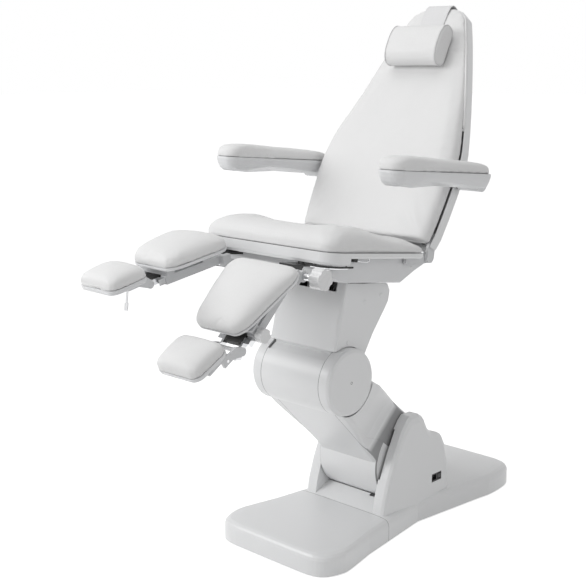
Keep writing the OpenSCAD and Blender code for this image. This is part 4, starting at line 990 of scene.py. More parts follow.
class Palette:
    """The chair's finishes."""

    UPHOLSTERY = Leatherette("upholstery_leatherette", (0.80, 0.80, 0.80), (0.74, 0.74, 0.74), 0.35, 2.4)
    STRAP = Leatherette("strap_leatherette", (0.76, 0.76, 0.765), (0.70, 0.70, 0.71), 0.4, 6.0, pebbles=1100.0)
    PIPING = Leatherette("piping_leatherette", (0.66, 0.66, 0.665), (0.58, 0.58, 0.59), 0.4, 9.0, pebbles=1400.0)
    THREAD = Leatherette("polyester_thread", (0.72, 0.72, 0.72), (0.6, 0.6, 0.6), 0.5, 30.0, pebbles=2600.0,
                         roughness=(0.6, 0.75))
    COVER = Moulded("white_cover_plastic", *COVER_TONES, **COVER_GLOSS)
    # the seams below are drawn as dark lines of painted shadow in the gaps between covers
    BASE_COVER = Moulded("white_base_plastic", *COVER_TONES, **COVER_GLOSS, seams=((1, -0.187),))
    ARM_COVER = Moulded("white_arm_plastic", *COVER_TONES, **COVER_GLOSS, seams=((0, 0.1185),))
    TRIM = Moulded("pale_trim_plastic", (0.73, 0.735, 0.745), (0.70, 0.705, 0.715), 0.1, 2.2, roughness=(0.3, 0.42))
    KNOB = Moulded("white_knob_plastic", (0.78, 0.78, 0.785), (0.7, 0.7, 0.705), 0.35, 20.0, roughness=(0.22, 0.34))
    BLACK_PLASTIC = Moulded("black_housing_plastic", (0.018, 0.018, 0.019), (0.03, 0.03, 0.032), 0.5, 12.0,
                            roughness=(0.42, 0.55), depth=0.0004, strength=0.4)
    GREY_PLASTIC = Moulded("grey_housing_plastic", (0.21, 0.215, 0.22), (0.16, 0.165, 0.17), 0.4, 8.0,
                           roughness=(0.42, 0.55), depth=0.0004, strength=0.4)
    RUBBER = Moulded("black_rubber", (0.014, 0.014, 0.014), (0.03, 0.03, 0.03), 0.4, 25.0, roughness=(0.62, 0.75),
                     depth=0.0003, strength=0.5)
    WHITE_FRAME = Sprayed("white_sprayed_steel", (0.66, 0.665, 0.675), (0.6, 0.605, 0.615), 0.4, 9.0, wear=0.2)
    TWO_TONE = TwoToneFrame("black_frame_pale_plates", (0.022, 0.022, 0.023), (0.04, 0.04, 0.042), 0.4, 9.0)
    FRAME = Sprayed("silver_sprayed_steel", (0.58, 0.585, 0.595), (0.50, 0.505, 0.515), 0.35, 8.0)
    BLACK_FRAME = Sprayed("black_sprayed_steel", (0.022, 0.022, 0.023), (0.04, 0.04, 0.042), 0.4, 9.0,
                          roughness=(0.34, 0.46), wear=0.12)
    CHROME = Bright("chromed_steel", (0.72, 0.725, 0.735), (0.6, 0.605, 0.615), 0.25, 15.0)
    BRUSHED = Bright("brushed_steel", (0.55, 0.555, 0.56), (0.45, 0.455, 0.46), 0.35, 18.0, roughness=(0.24, 0.38))
    CHAIN = Bright("oiled_chain_steel", (0.19, 0.185, 0.175), (0.09, 0.088, 0.082), 0.7, 60.0, roughness=(0.28, 0.5))


def wear(obj: bpy.types.Object, finish: Finish) -> bpy.types.Object:
    """Gives every material slot of a piece or a CAD node one finish.

    Args:
        obj: The piece.
        finish: Its finish.

    Returns:
        The same piece.
    """
    material = finish.material()
    if not obj.material_slots:
        obj.data.materials.append(material)
    for slot in obj.material_slots:
        slot.material = material
    return obj


# Shapes that repeat along a path


class Repeats:
    """The Geometry Nodes trees for stitches and welts, each built once."""

    @staticmethod
    def start(name: str, sizes: dict[str, float]) -> tuple[Wiring, bpy.types.Node, bpy.types.Node]:
        """Begins a tree that has one named input for each size.

        Args:
            name: The tree's name.
            sizes: Each size's first value.

        Returns:
            The wiring, the input node and the output node.
        """
        tree = bpy.data.node_groups.new(name, "GeometryNodeTree")
        tree.interface.new_socket("Geometry", in_out="INPUT", socket_type="NodeSocketGeometry")
        for key, value in sizes.items():
            tree.interface.new_socket(key, in_out="INPUT", socket_type="NodeSocketFloat").default_value = value
        tree.interface.new_socket("Material", in_out="INPUT", socket_type="NodeSocketMaterial")
        tree.interface.new_socket("Geometry", in_out="OUTPUT", socket_type="NodeSocketGeometry")
        w = Wiring(tree)
        return w, w.add("NodeGroupInput"), w.add("NodeGroupOutput")

    @staticmethod
    def end(w: Wiring, given: bpy.types.Node, out: bpy.types.Node, geometry: bpy.types.NodeSocket) -> None:
        """Ends a tree in Realize Instances and Set Material.

        Args:
            w: The tree's wiring.
            given: Its input node.
            out: Its output node.
            geometry: What the tree has made.
        """
        real = w.add("GeometryNodeRealizeInstances", {"Geometry": geometry})
        dressed = w.add("GeometryNodeSetMaterial", {"Geometry": real.outputs[0], "Material": given.outputs["Material"]})
        w.feed(out.inputs[0], dressed.outputs[0])

    @staticmethod
    @cache
    def stitches() -> bpy.types.NodeTree:
        """The tree that lays stitches along a path.

        Returns:
            The tree.
        """
        w, given, out = Repeats.start("StitchRun", {"Pitch": 0.004, "Length": 0.0028, "Thickness": 0.0007})
        curve = w.add("GeometryNodeMeshToCurve", {"Mesh": given.outputs["Geometry"]})
        spaced = w.add("GeometryNodeResampleCurve", {"Curve": curve.outputs[0], "Length": given.outputs["Pitch"]},
                       mode="LENGTH")
        bead = w.add("GeometryNodeMeshUVSphere", {"Segments": 6, "Rings": 4, "Radius": 0.5})
        tangent = w.add("GeometryNodeInputTangent").outputs[0]
        along = w.add("FunctionNodeAlignRotationToVector", {"Vector": tangent}, axis="X")
        size = w.add("ShaderNodeCombineXYZ", {0: given.outputs["Length"], 1: given.outputs["Thickness"],
                                              2: given.outputs["Thickness"]})
        laid = w.add("GeometryNodeInstanceOnPoints", {"Points": spaced.outputs[0], "Instance": bead.outputs[0],
                                                      "Rotation": along.outputs[0], "Scale": size.outputs[0]})
        Repeats.end(w, given, out, laid.outputs[0])
        return w.tree

    @staticmethod
    @cache
    def welt() -> bpy.types.NodeTree:
        """The tree that lays a round welt along a path.

        Returns:
            The tree.
        """
        w, given, out = Repeats.start("WeltRun", {"Radius": 0.0012})
        curve = w.add("GeometryNodeMeshToCurve", {"Mesh": given.outputs["Geometry"]})
        profile = w.add("GeometryNodeCurvePrimitiveCircle", {"Resolution": 8, "Radius": given.outputs["Radius"]})
        swept = w.add("GeometryNodeCurveToMesh", {"Curve": curve.outputs[0], "Profile Curve": profile.outputs[0],
                                                  "Fill Caps": True})
        soft = w.add("GeometryNodeSetShadeSmooth", {"Geometry": swept.outputs[0]})
        Repeats.end(w, given, out, soft.outputs[0])
        return w.tree


def grown(obj: bpy.types.Object, tree: bpy.types.NodeTree, finish: Finish, **sizes: float) -> bpy.types.Object:
    """Runs a Geometry Nodes tree on a path or points and keeps the result as a plain mesh.

    Args:
        obj: The path or points.
        tree: The tree.
        finish: The finish of what grows.
        **sizes: A value for each named size.

    Returns:
        The same object, now the finished piece.
    """
    modifier = obj.modifiers.new(tree.name, "NODES")
    modifier.node_group = tree
    named = {s.name: s.identifier for s in tree.interface.items_tree if s.in_out == "INPUT"}
    for key, value in sizes.items():
        modifier[named[key]] = value
    modifier[named["Material"]] = finish.material()
    bake(obj)
    return wear(obj, finish)


def path(name: str, points: Sequence[Sequence[float]], place: Matrix | None = None,
         closed: bool = False) -> bpy.types.Object:
    """A loose path of edges for a Geometry Nodes tree.

    Args:
        name: The path's name.
        points: Its points in order.
        place: The frame they are given in.
        closed: Whether it runs back to its start.

    Returns:
        The path.
    """
    n = len(points)
    edges = [(i, (i + 1) % n) for i in range(n if closed else n - 1)]
    return make_object(name, points, [], place, edges)


# Padding

UNDERSIDE = 0.004  # below this height over its seam a pad keeps its shape
PUCKER_BAND = 0.024  # height over the seam in which puckers die out
PAD_PROFILE: tuple[Flat, ...] = (
    (0.965, 0.0), (0.992, 0.1), (1.0, 0.28), (0.997, 0.46), (0.975, 0.64), (0.925, 0.79), (0.83, 0.9),
    (0.66, 0.965), (0.4, 0.995), (0.14, 1.0))
DOMED_PROFILE: tuple[Flat, ...] = (
    (0.974, 0.0), (0.996, 0.08), (1.003, 0.22), (1.0, 0.38), (0.982, 0.54), (0.944, 0.68), (0.88, 0.8), (0.78, 0.89),
    (0.62, 0.955), (0.4, 0.988), (0.14, 1.0))


@dataclass
class Pad:
    """A stuffed pad: how it is shaped, swollen, dressed and put in place of its CAD solid."""

    node: str
    body: str
    place: Matrix
    slack: float = 0.003
    fill: float = 0.8
    voxel: float = 0.005
    pucker: float = 0.0004
    swell: float = 0.0010

    def rings(self) -> list[Ring]:
        """Returns the pad's rings, from its flat underside up, in its own frame."""
        raise NotImplementedError

    def relief(self, p: Vector) -> float:
        """Finds how far a point moves outwards: puckers at the seam and slow unevenness above it.

        Args:
            p: The point, in the pad's own frame.

        Returns:
            The distance.
        """
        if p.z < UNDERSIDE:
            return 0.0
        near_seam = max(0.0, 1 - p.z / PUCKER_BAND)
        pucker = noise.noise(Vector((p.x * 95, p.y * 95, 3.0))) * self.pucker * near_seam * 2.2
        uneven = noise.noise(Vector((p.x * 11, p.y * 11, p.z * 9 + 7.0))) - 0.25
        return pucker + uneven * self.swell * (1 - near_seam)

    def build(self) -> bpy.types.Object:
        """Builds the pad, riding on its body in place of its CAD solid.

        Returns:
            The finished pad.
        """
        pad = loft("padding_" + self.node, self.rings(), self.place)
        ruffled(pad, self.place, lambda p: 0.0 if p.z < 0.003 else -self.slack)
        stuff(pad, Filling(voxel=self.voxel, cap=self.slack), self.place)
        ruffled(pad, self.place, self.relief)
        widened(pad)
        wear(pad, Palette.UPHOLSTERY)
        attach(pad, self.body)
        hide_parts(self.node)
        return pad


@dataclass
class SeatPad(Pad):
    """The seat: high along its front and sides, hollowed where one sits, low at the back."""

    node: str = "seat_cushion"
    body: str = "seat"
    place: Matrix = field(default_factory=LAYOUT.seat)
    width: float = 0.536
    length: float = 0.455
    corner: float = 0.052
    crown: float = 0.084
    voxel: float = 0.006
    profile: tuple[Flat, ...] = (
        (0.975, 0), (0.995, 0.1), (1, 0.24), (0.985, 0.42), (0.955, 0.57), (0.9, 0.71), (0.82, 0.82), (0.7, 0.91),
        (0.5, 0.965), (0.28, 0.99), (0.1, 1))

    def height(self, x: float, v: float) -> float:
        """Finds the seat's height over its seam at a point.

        Args:
            x: Where the point is across the seat.
            v: How far back it is.

        Returns:
            The height.
        """
        a, t = min(1.0, abs(x) * 2 / self.width), v / self.length
        low = (0.12 * (1 - smooth(t / 0.24)) + 0.36 * smooth((t - 0.3) / 0.4) + 0.2 * smooth((t - 0.7) / 0.3)
               + 0.27 * smooth(t / 0.36) * (1 - smooth((a - 0.35) / 0.5)))
        return self.crown * (1 - low)

    def rings(self) -> list[Ring]:
        """Shapes the seat.

        Returns:
            Its rings.
        """
        outline = box_ring(self.width / 2, self.length / 2, self.corner, 12, 18)
        rings = []
        for share, rise in through(self.profile, 30):
            ring = [(x * share, self.length / 2 + y * share) for x, y in outline]
            rings.append([(x, v, REST_GAP + self.height(x, v) * rise) for x, v in ring])
        return rings


@dataclass
class BackPad(Pad):
    """The back: broad at the hips, narrowing to a rounded head end, and thinner there."""

    node: str = "back_cushion"
    body: str = "back"
    place: Matrix = field(default_factory=lambda: LAYOUT.back() @ Matrix.Rotation(math.pi / 2, 4, "X"))
    length: float = 0.830
    width: float = 0.534
    top_width: float = 0.252
    thickness: float = 0.062
    lift: float = 0.020
    voxel: float = 0.007
    swell: float = 0.0014
    full_at: float = 0.93
    welt_share: float = 0.986
    welt_at: float = 0.0034
    welt_from: float = 0.40
    welt_radius: float = 0.0042
    outline_shares: tuple[Flat, ...] = (
        (0, 0), (0.5, 0), (0.86, 0.003), (0.94, 0.018), (0.965, 0.06), (0.985, 0.14), (1, 0.24), (1, 0.33), (1, 0.4),
        (1, 0.48), (1, 0.57), (1, 0.67), (1, 0.77), (1, 0.86), (0.99, 0.915), (0.9, 0.96), (0.7, 0.985), (0.4, 0.997))

    def half(self, t: float) -> float:
        """Returns half the back's width at a share of its length."""
        return lerp(self.width, self.top_width, max(0.0, (t - 0.35) / 0.56) ** 1.2) / 2

    def thick(self, x: float, s: float) -> float:
        """Finds the pad's thickness at a point.

        Args:
            x: Where the point is across the back.
            s: How far up it is.

        Returns:
            The thickness.
        """
        t = s / self.length
        a = min(1.0, abs(x) / self.half(t))
        return self.thickness * (lerp(1, 0.42, smooth((t - 0.36) / 0.38))
                                 - 0.16 * (1 - smooth((a - 0.3) / 0.6)) * (1 - smooth((t - 0.5) / 0.3)))

    def outline(self) -> list[Flat]:
        """Draws the back's outline.

        Returns:
            Its points, as x and the distance up the back.
        """
        side = [(x * self.half(min(t, self.full_at)), t * self.length) for x, t in self.outline_shares]
        ring = side + [(0.0, self.length)] + [(-x, s) for x, s in reversed(side[1:])]
        return through(ring, 150, closed=True)

    def centre(self) -> Flat:
        """Returns the point that the rings close towards."""
        return (0.0, self.length * 0.45)

    def rings(self) -> list[Ring]:
        """Shapes the back; z rises from the shell towards the sitter, y runs down the back.

        Returns:
            Its rings.
        """
        rings = []
        for share, rise in through(PAD_PROFILE, 26):
            ring = drawn_in(self.outline(), self.centre(), share)
            rings.append([(x, max(self.lift, s), REST_GAP + self.thick(x, s) * rise) for x, s in ring])
        return rings

    def relief(self, p: Vector) -> float:
        """Adds short tucks along the lower sides.

        Args:
            p: The point, in the pad's own frame.

        Returns:
            How far the point moves outwards.
        """
        half = self.half(max(0.0, min(self.full_at, p.y / self.length)))
        edge = smooth((abs(p.x) / half - 0.86) / 0.14)
        tucks = math.sin(p.y * 420 + 3 * noise.noise(Vector((p.y * 9, 0, 1)))) * 0.0004
        low = smooth((0.42 - p.y) / 0.12)
        return super().relief(p) + (tucks * edge * low if p.z > UNDERSIDE else 0.0)

    def build(self) -> bpy.types.Object:
        """Builds the cushion, and the welt that closes the joint to the shell round the head end.

        Returns:
            The cushion.
        """
        pad = super().build()
        line = [(x, s, self.welt_at) for x, s in drawn_in(self.outline(), self.centre(), self.welt_share)
                if s > self.welt_from]
        turn = max(range(len(line) - 1), key=lambda i: math.dist(line[i], line[i + 1])) + 1
        line = line[turn:] + line[:turn]
        welt = tube("welt_back_cushion", line,
                    lambda share: self.welt_radius * smooth(min(share, 1 - share) / 0.12 + 0.1), self.place, 10)
        wear(welt, Palette.UPHOLSTERY)
        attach(welt, self.body)
        return pad


@dataclass
class PillowPad(Pad):
    """The head pillow: a half-round bolster that a strap holds to the back."""

    node: str = "head_pillow"
    body: str = "pillow"
    place: Matrix = field(default_factory=LAYOUT.back)
    width: float = 0.210
    height: float = 0.135
    depth: float = 0.082
    low: float = 0.5976
    rest: float = -0.0294
    welts_at: float = 0.945
    stitches_at: float = 0.905
    steps: tuple[Flat, ...] = (
        (0.02, 1.0), (0.55, 0.998), (0.85, 0.987), (0.95, 0.972), (0.985, 0.955), (1.0, 0.93))

    def section(self) -> list[Flat]:
        """Draws the bolster's half-round section.

        Returns:
            Its points, as how far each stands out and its height.
        """
        count = 72
        return [(max(0.0, self.depth * 0.78 * (0.42 + 0.58 * power(math.cos(a), 0.8))),
                 self.height / 2 * power(math.sin(a), 0.85)) for a in (math.tau * i / count for i in range(count))]

    def ring(self, share: float, at: float) -> Ring:
        """Places the section at one point of the bolster's width.

        Args:
            share: How much of its size is left.
            at: Where, as a share of the half width.

        Returns:
            The section's points.
        """
        middle = self.low + self.height / 2
        sag = 0.0016 * (1 - at * at)
        return [(at * self.width / 2, self.rest - (d if d < 1e-4 else d + sag), middle + h)
                for d, h in drawn_in(self.section(), (self.depth * 0.4, 0), share)]

    def rings(self) -> list[Ring]:
        """Shapes the bolster from one end to the other.

        Returns:
            Its rings.
        """
        ends = [(max(share, 0.02), at) for share, at in through(self.steps, 12)]
        body = [(1.0, lerp(-0.9, 0.9, k / 16)) for k in range(17)]
        every = [(share, -at) for share, at in ends] + body + [(share, at) for share, at in reversed(ends)]
        return [self.ring(share, at) for share, at in every]

    def build(self) -> bpy.types.Object:
        """Builds the bolster, with soft creases along it, and dresses its end seams.

        Returns:
            The bolster.
        """
        pad = loft("padding_head_pillow", self.rings(), self.place)
        middle = Vector((0, self.rest, self.low + self.height / 2))

        def relief(p: Vector) -> float:
            """Lays long shallow creases across the bolster's front.

            Args:
                p: The point, in the back's frame.

            Returns:
                How far the point moves outwards.
            """
            if p.y > self.rest - 0.004:
                return 0.0
            inner = 1 - smooth((abs(p.x) / (self.width / 2) - 0.75) / 0.22)
            crease = noise.noise(Vector((p.x * 7, p.y * 30, (p.z - middle.z) * 62)))
            return (crease - 0.35) * 0.0012 * inner

        remesh = pad.modifiers.new("Remesh", "REMESH")
        remesh.mode, remesh.voxel_size, remesh.use_smooth_shade = "VOXEL", 0.004, True
        bake(pad)
        ruffled(pad, self.place, relief)
        widened(pad)
        wear(pad, Palette.UPHOLSTERY)
        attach(pad, self.body)
        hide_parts(self.node)
        self.dress_ends()
        return pad

    def dress_ends(self) -> None:
        """Lays a welt and a row of stitches round each end of the bolster."""
        welts, rows = [], []
        for end in (-1, 1):
            edge = self.ring(1.0, end * self.welts_at)
            welts.append(grown(path("welt", edge, self.place, True), Repeats.welt(), Palette.PIPING, Radius=0.0012))
            row = self.ring(1.006, end * self.stitches_at)
            rows.append(grown(path("row", row, self.place, True), Repeats.stitches(), Palette.THREAD,
                              Pitch=0.005, Length=0.0034, Thickness=0.0007))
        for name, parts, finish in (("pillow_end_welts", welts, Palette.PIPING),
                                    ("pillow_end_stitches", rows, Palette.THREAD)):
            piece = wear(joined(name, parts), finish)
            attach(piece, self.body)


@dataclass
class ArmPad(Pad):
    """An armrest's pad, fullest at its front end, and lower and narrower towards the rear."""

    width: float = 0.098
    length: float = 0.478
    height: float = 0.044
    voxel: float = 0.0042
    slack: float = 0.002

    def top(self, t: float) -> float:
        """Returns the pad's height at a share of its length."""
        return self.height * (1 - 0.17 * smooth((t - 0.16) / 0.32) - 0.08 * smooth((t - 0.6) / 0.4))

    def wide(self, t: float) -> float:
        """Returns the pad's width there, as a share of its full width."""
        return 1 - 0.1 * smooth((t - 0.2) / 0.3)

    def rings(self) -> list[Ring]:
        """Shapes the pad.

        Returns:
            Its rings.
        """
        outline = box_ring(self.width / 2, self.length / 2, self.width * 0.44, 12, 24)
        rings = []
        for share, rise in through(DOMED_PROFILE, 24):
            ring = []
            for x, y in outline:
                v = self.length / 2 + y * lerp(1, share, 0.5)
                t = v / self.length
                ring.append((x * self.wide(t) * share, v, REST_GAP + self.top(t) * rise))
            rings.append(ring)
        return rings


@dataclass
class WedgePad(Pad):
    """A leg or foot pad: wide at the hinge end, narrower at the far end, on a shallow moulded tray.

    Its place is the top of its tray.
    """

    wide: float = 0.268
    narrow: float = 0.184
    length: float = 0.234
    height: float = 0.062
    crown: float = 0.2
    corner: float = 0.2
    middle: float = 0.0
    tray: float = 0.010
    tray_steps: tuple[Flat, ...] = ((0.9, 0.03), (0.955, 0.09), (0.975, 0.3), (0.982, 0.6), (0.984, 0.9), (0.978, 1.0))

    def outline(self) -> list[Flat]:
        """Draws the pad's outline, straight on its inner side.

        Returns:
            Its points.
        """
        ring = []
        for x, y in box_ring(self.wide / 2, self.length / 2, self.length * self.corner, 14, 12):
            width = lerp(self.wide, self.narrow, 0.5 - y / self.length)
            ring.append((self.middle - self.wide / 2 + width * (x / self.wide + 0.5), y - self.length / 2))
        return ring

    def centre(self) -> Flat:
        """Returns the point that the rings close towards."""
        return (self.middle - (self.wide - self.narrow) / 4, -self.length / 2)

    def rings(self) -> list[Ring]:
        """Shapes the cushion over its tray.

        Returns:
            Its rings.
        """
        rings = []
        for share, rise in through(DOMED_PROFILE, 28):
            ring = []
            for x, y in drawn_in(self.outline(), self.centre(), share):
                a, b = min(1.0, abs(x - self.centre()[0]) * 2 / self.wide), abs(y / self.length + 0.5) * 2
                dome = 1 - self.crown * a * a - self.crown * 0.7 * b * b
                ring.append((x, y, REST_GAP + (self.height * dome - self.tray) * rise))
            rings.append(ring)
        return rings

    def build(self) -> bpy.types.Object:
        """Builds the cushion, its tray and the stitched seam between them.

        Returns:
            The cushion.
        """
        pad = super().build()
        rings = [[(x, y, (rise - 1) * self.tray) for x, y in drawn_in(self.outline(), self.centre(), share)]
                 for share, rise in self.tray_steps]
        tray = wear(loft("tray_" + self.node, rings, self.place, sharp=50), Palette.TRIM)
        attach(tray, self.body)
        line = [(x, y, 0.0046) for x, y in drawn_in(self.outline(), self.centre(), 0.9845)]
        row = grown(path("stitches_" + self.node, line, self.place, True), Repeats.stitches(), Palette.THREAD,
                    Pitch=0.0052, Length=0.0034, Thickness=0.0008)
        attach(row, self.body)
        return pad


@dataclass
class HeadStrap:
    """The strap over the head end that holds the pillow, hemmed and stitched along both edges."""

    width: float = 0.096
    thickness: float = 0.0024
    hem: float = 0.006
    columns: int = 12
    outer: tuple[Flat, ...] = (
        (-0.02884, 0.664), (-0.02711, 0.752), (-0.02423, 0.7993), (-0.01903, 0.8234), (-0.01327, 0.8328),
        (0.03089, 0.8328), (0.04025, 0.8297), (0.04493, 0.8234), (0.0468, 0.8117), (0.0468, 0.6972))

    def line(self, inset: float) -> list[Flat]:
        """Draws the strap's path in by a distance.

        Args:
            inset: The distance.

        Returns:
            The path's points.
        """
        pts = [Vector(p) for p in through(self.outer, 90)]
        centre = Vector((0.0088, 0.664))
        return [tuple(p + (centre - p).normalized() * inset) for p in pts]

    def band(self, line: Sequence[Flat], place: Matrix) -> bpy.types.Object:
        """Builds the bare strap along its path.

        Args:
            line: The path of its outer face.
            place: The back's frame.

        Returns:
            The strap, as a plain mesh.
        """
        step = self.columns + 1
        vertices = [((k / self.columns * 2 - 1) * self.width / 2, y, z) for y, z in line for k in range(step)]
        faces = [(i * step + k, (i + 1) * step + k, (i + 1) * step + k + 1, i * step + k + 1)
                 for i in range(len(line) - 1) for k in range(self.columns)]
        strap = make_object("strap_head_strap", vertices, faces, place)
        bm = bmesh.new()
        bm.from_mesh(strap.data)
        bm.normal_update()
        middle = place @ Vector((0, 0.009, 0.7))
        if sum(f.normal.dot(f.calc_center_median() - middle) for f in bm.faces) < 0:
            bmesh.ops.reverse_faces(bm, faces=bm.faces)
        bm.to_mesh(strap.data)
        bm.free()
        solid = strap.modifiers.new("Solidify", "SOLIDIFY")
        solid.thickness, solid.offset = self.thickness, -1
        round_off = strap.modifiers.new("Bevel", "BEVEL")
        round_off.width, round_off.segments, round_off.limit_method = 0.0006, 2, "ANGLE"
        bake(strap)
        strap.data.polygons.foreach_set("use_smooth", [True] * len(strap.data.polygons))
        return strap

    def build(self) -> bpy.types.Object:
        """Builds the strap, with its hems and stitches.

        Returns:
            The strap.
        """
        place = LAYOUT.back()
        line = self.line(0.0)
        strap = wear(self.band(line, place), Palette.STRAP)
        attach(strap, "back")
        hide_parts("head_strap")
        rows = []
        for x in (-1, 1):
            row = [(x * (self.width / 2 - self.hem), y, z) for y, z in self.line(-0.0001)]
            rows.append(grown(path("row", row, place), Repeats.stitches(), Palette.THREAD, Pitch=0.0045,
                              Length=0.003, Thickness=0.0007))
        stitches = wear(joined("strap_stitches", rows), Palette.THREAD)
        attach(stitches, "back")
        return strap


# Covers, machinery and fittings

NODE_FINISHES: dict[str, Finish] = {
    **dict.fromkeys(("base_cover_front", "base_cover_rear"), Palette.BASE_COVER),
    **dict.fromkeys(("lower_arm_cover_left", "lower_arm_cover_right", "lower_arm_front_cover"), Palette.ARM_COVER),
    **dict.fromkeys(("back_shell", "seat_skirt"), Palette.COVER),
    **dict.fromkeys(("seat_pan", "armrest_shell_left", "armrest_shell_right"), Palette.TRIM),
    **dict.fromkeys(("base_plate", "lower_arm_frame", "upper_arm_frame", "leg_frame_left", "leg_frame_right"),
                    Palette.FRAME),
    **dict.fromkeys(("seat_carrier", "armrest_bracket_left", "armrest_bracket_right"), Palette.BLACK_FRAME),
    **dict.fromkeys(("seat_frame", "back_frame"), Palette.TWO_TONE),
    **dict.fromkeys(("foot_bracket_left", "foot_bracket_right"), Palette.WHITE_FRAME),
    **dict.fromkeys(("lift_rod", "tilt_rod", "back_rod", "foot_slide_left", "foot_slide_right", "foot_lever_left",
                     "foot_lever_right"), Palette.CHROME),
    **dict.fromkeys(("lower_shaft", "knee_shaft", "seat_shaft", "knee_sprocket", "base_screws"), Palette.BRUSHED),
    **dict.fromkeys(("lift_chain", "level_chain"), Palette.CHAIN),
    **dict.fromkeys(("lift_motor", "tilt_motor", "back_motor"), Palette.BLACK_PLASTIC),
    **dict.fromkeys(("power_inlet", "power_switch"), Palette.BLACK_PLASTIC),
    **dict.fromkeys(("leg_knob_left", "leg_knob_right", "foot_knob_left", "foot_knob_right"), Palette.KNOB),
    "control_box": Palette.GREY_PLASTIC,
}


@dataclass
class CarriedParts:
    """The CAD parts whose own shapes show: covers, frames, drives and brackets."""

    knee: Point = (0, -0.3367, 0.5497)
    arm_lean: float = -18.0
    # bounds of the box, turned about the knee, in which the upper arm cover takes painted shade
    arm_inside_low: Point = (-0.1335, -0.0735, 0.105)
    arm_inside_high: Point = (0.1335, 0.055, 0.336)

    def dress(self) -> int:
        """Gives each CAD part that shows its finish.

        Returns:
            How many parts were dressed.
        """
        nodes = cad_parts
        for name, finish in NODE_FINISHES.items():
            wear(nodes[name], finish)
        for side in Side:
            hinge = LAYOUT.hinge(side)
            bar = BarOnPlate(f"hinge_bar_and_plate_{side.word}", (0.72, 0.725, 0.735), (0.6, 0.605, 0.615), 0.25, 15.0,
                             axis_at=tuple(hinge.translation), axis_along=tuple(hinge.col[0][:3]))
            wear(nodes["leg_bracket_" + side.word], bar)
        # the upper arm cover takes painted shade inside its opening, within the turned box
        wear(nodes["upper_arm_cover"], HollowMoulded(
            "white_cover_plastic_painted_inner_shade", *COVER_TONES, **COVER_GLOSS, origin=self.knee, degrees=self.arm_lean,
            low=self.arm_inside_low, high=self.arm_inside_high))
        return len(NODE_FINISHES) + len(Side) + 1


@dataclass
class CoverTrim:
    """Small parts let into the covers: caps over the screws, and dark discs at the knee pivots' centres, painted shade
    for their holes.
    """

    arm_half: float = 0.135
    disc_half: float = 0.160
    caps: tuple[Flat, ...] = ((-0.1706, 0.7909), (-0.2478, 0.7812), (-0.3256, 0.6677))
    knee: Flat = (-0.3367, 0.5497)

    @staticmethod
    def facing(x: float, y: float, z: float, sign: int) -> Matrix:
        """Returns a frame on a side cover, whose z points outwards."""
        return Matrix.Translation((x * sign, y, z)) @ Matrix.Rotation(sign * math.pi / 2, 4, "Y")

    def build(self) -> list[bpy.types.Object]:
        """Builds the caps and the dark discs of painted shade in the pivots' centre holes, one piece for each body and
        finish.

        Returns:
            The pieces.
        """
        caps, rims, hole_shades = [], [], []
        dome = ((0.0062, -0.001), (0.0062, 0.0004), (0.0056, 0.001), (0.003, 0.0015), (0.0002, 0.0016))
        rim = ((0.0074, -0.0012), (0.0074, 0.0002), (0.0068, 0.0005), (0.0062, 0.0002), (0.0060, -0.001))
        # painted shade: a flat dark disc stands for the shade in each pivot's centre hole
        dark = ((0.0042, -0.001), (0.0042, 0.0003), (0.0036, 0.0006), (0.0030, 0.0003), (0.0004, 0.0002))
        for sign in (-1, 1):
            for y, z in self.caps:
                at = self.facing(self.arm_half, y, z, sign)
                caps.append(turned_part("cap", dome, at))
                rims.append(turned_part("rim", rim, at))
            hole_shades.append(turned_part("centre", dark, self.facing(self.disc_half, *self.knee, sign)))
        made = []
        for name, parts, finish, body in (("arm_cover_caps", caps, Palette.COVER, "upper_arm"),
                                          ("arm_cover_cap_seats", rims, Palette.TRIM, "upper_arm"),
                                          ("knee_hole_shade_discs", hole_shades, Palette.RUBBER, "lower_arm")):
            piece = wear(joined(name, parts), finish)
            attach(piece, body)
            made.append(piece)
        return made


@dataclass
class ArmFittings:
    """White hub discs that fill the gap between the lower arm and the base's cheeks, and the legs' end buffers."""

    pivot: Flat = (-0.030, 0.215)
    disc: tuple[Flat, ...] = (
        (0.06, 0.1142), (0.124, 0.1142), (0.1268, 0.1152), (0.1272, 0.1172), (0.1262, 0.1182), (0.06, 0.1184))
    buffer_low: Point = (-0.044, -0.2525, 0.0095)
    buffer_high: Point = (0.024, -0.2145, 0.0312)

    def build(self) -> list[bpy.types.Object]:
        """Builds the discs on the arm and a buffer on each leg.

        Returns:
            The pieces.
        """
        discs = [turned_part("disc", self.disc, CoverTrim.facing(0.0, *self.pivot, sign), 72) for sign in (-1, 1)]
        made = [wear(joined("arm_hub_discs", discs), Palette.COVER)]
        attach(made[0], "lower_arm")
        low, high = Vector(self.buffer_low), Vector(self.buffer_high)
        half, middle = (high - low) / 2, (high + low) / 2
        for side in Side:
            outline = box_ring(half.x, half.z, 0.005, 5, 3)
            rings = [[(middle.x + x * share, middle.y + y * half.y, middle.z + z * share) for x, z in outline]
                     for share, y in ((0.9, -1.0), (1.0, -0.88), (1.0, 0.88), (0.9, 1.0))]
            buffer = wear(loft("leg_end_buffer_" + side.word, rings, LAYOUT.hinge(side), sharp=40), Palette.RUBBER)
            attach(buffer, "leg_" + side.word)
            made.append(buffer)
        return made


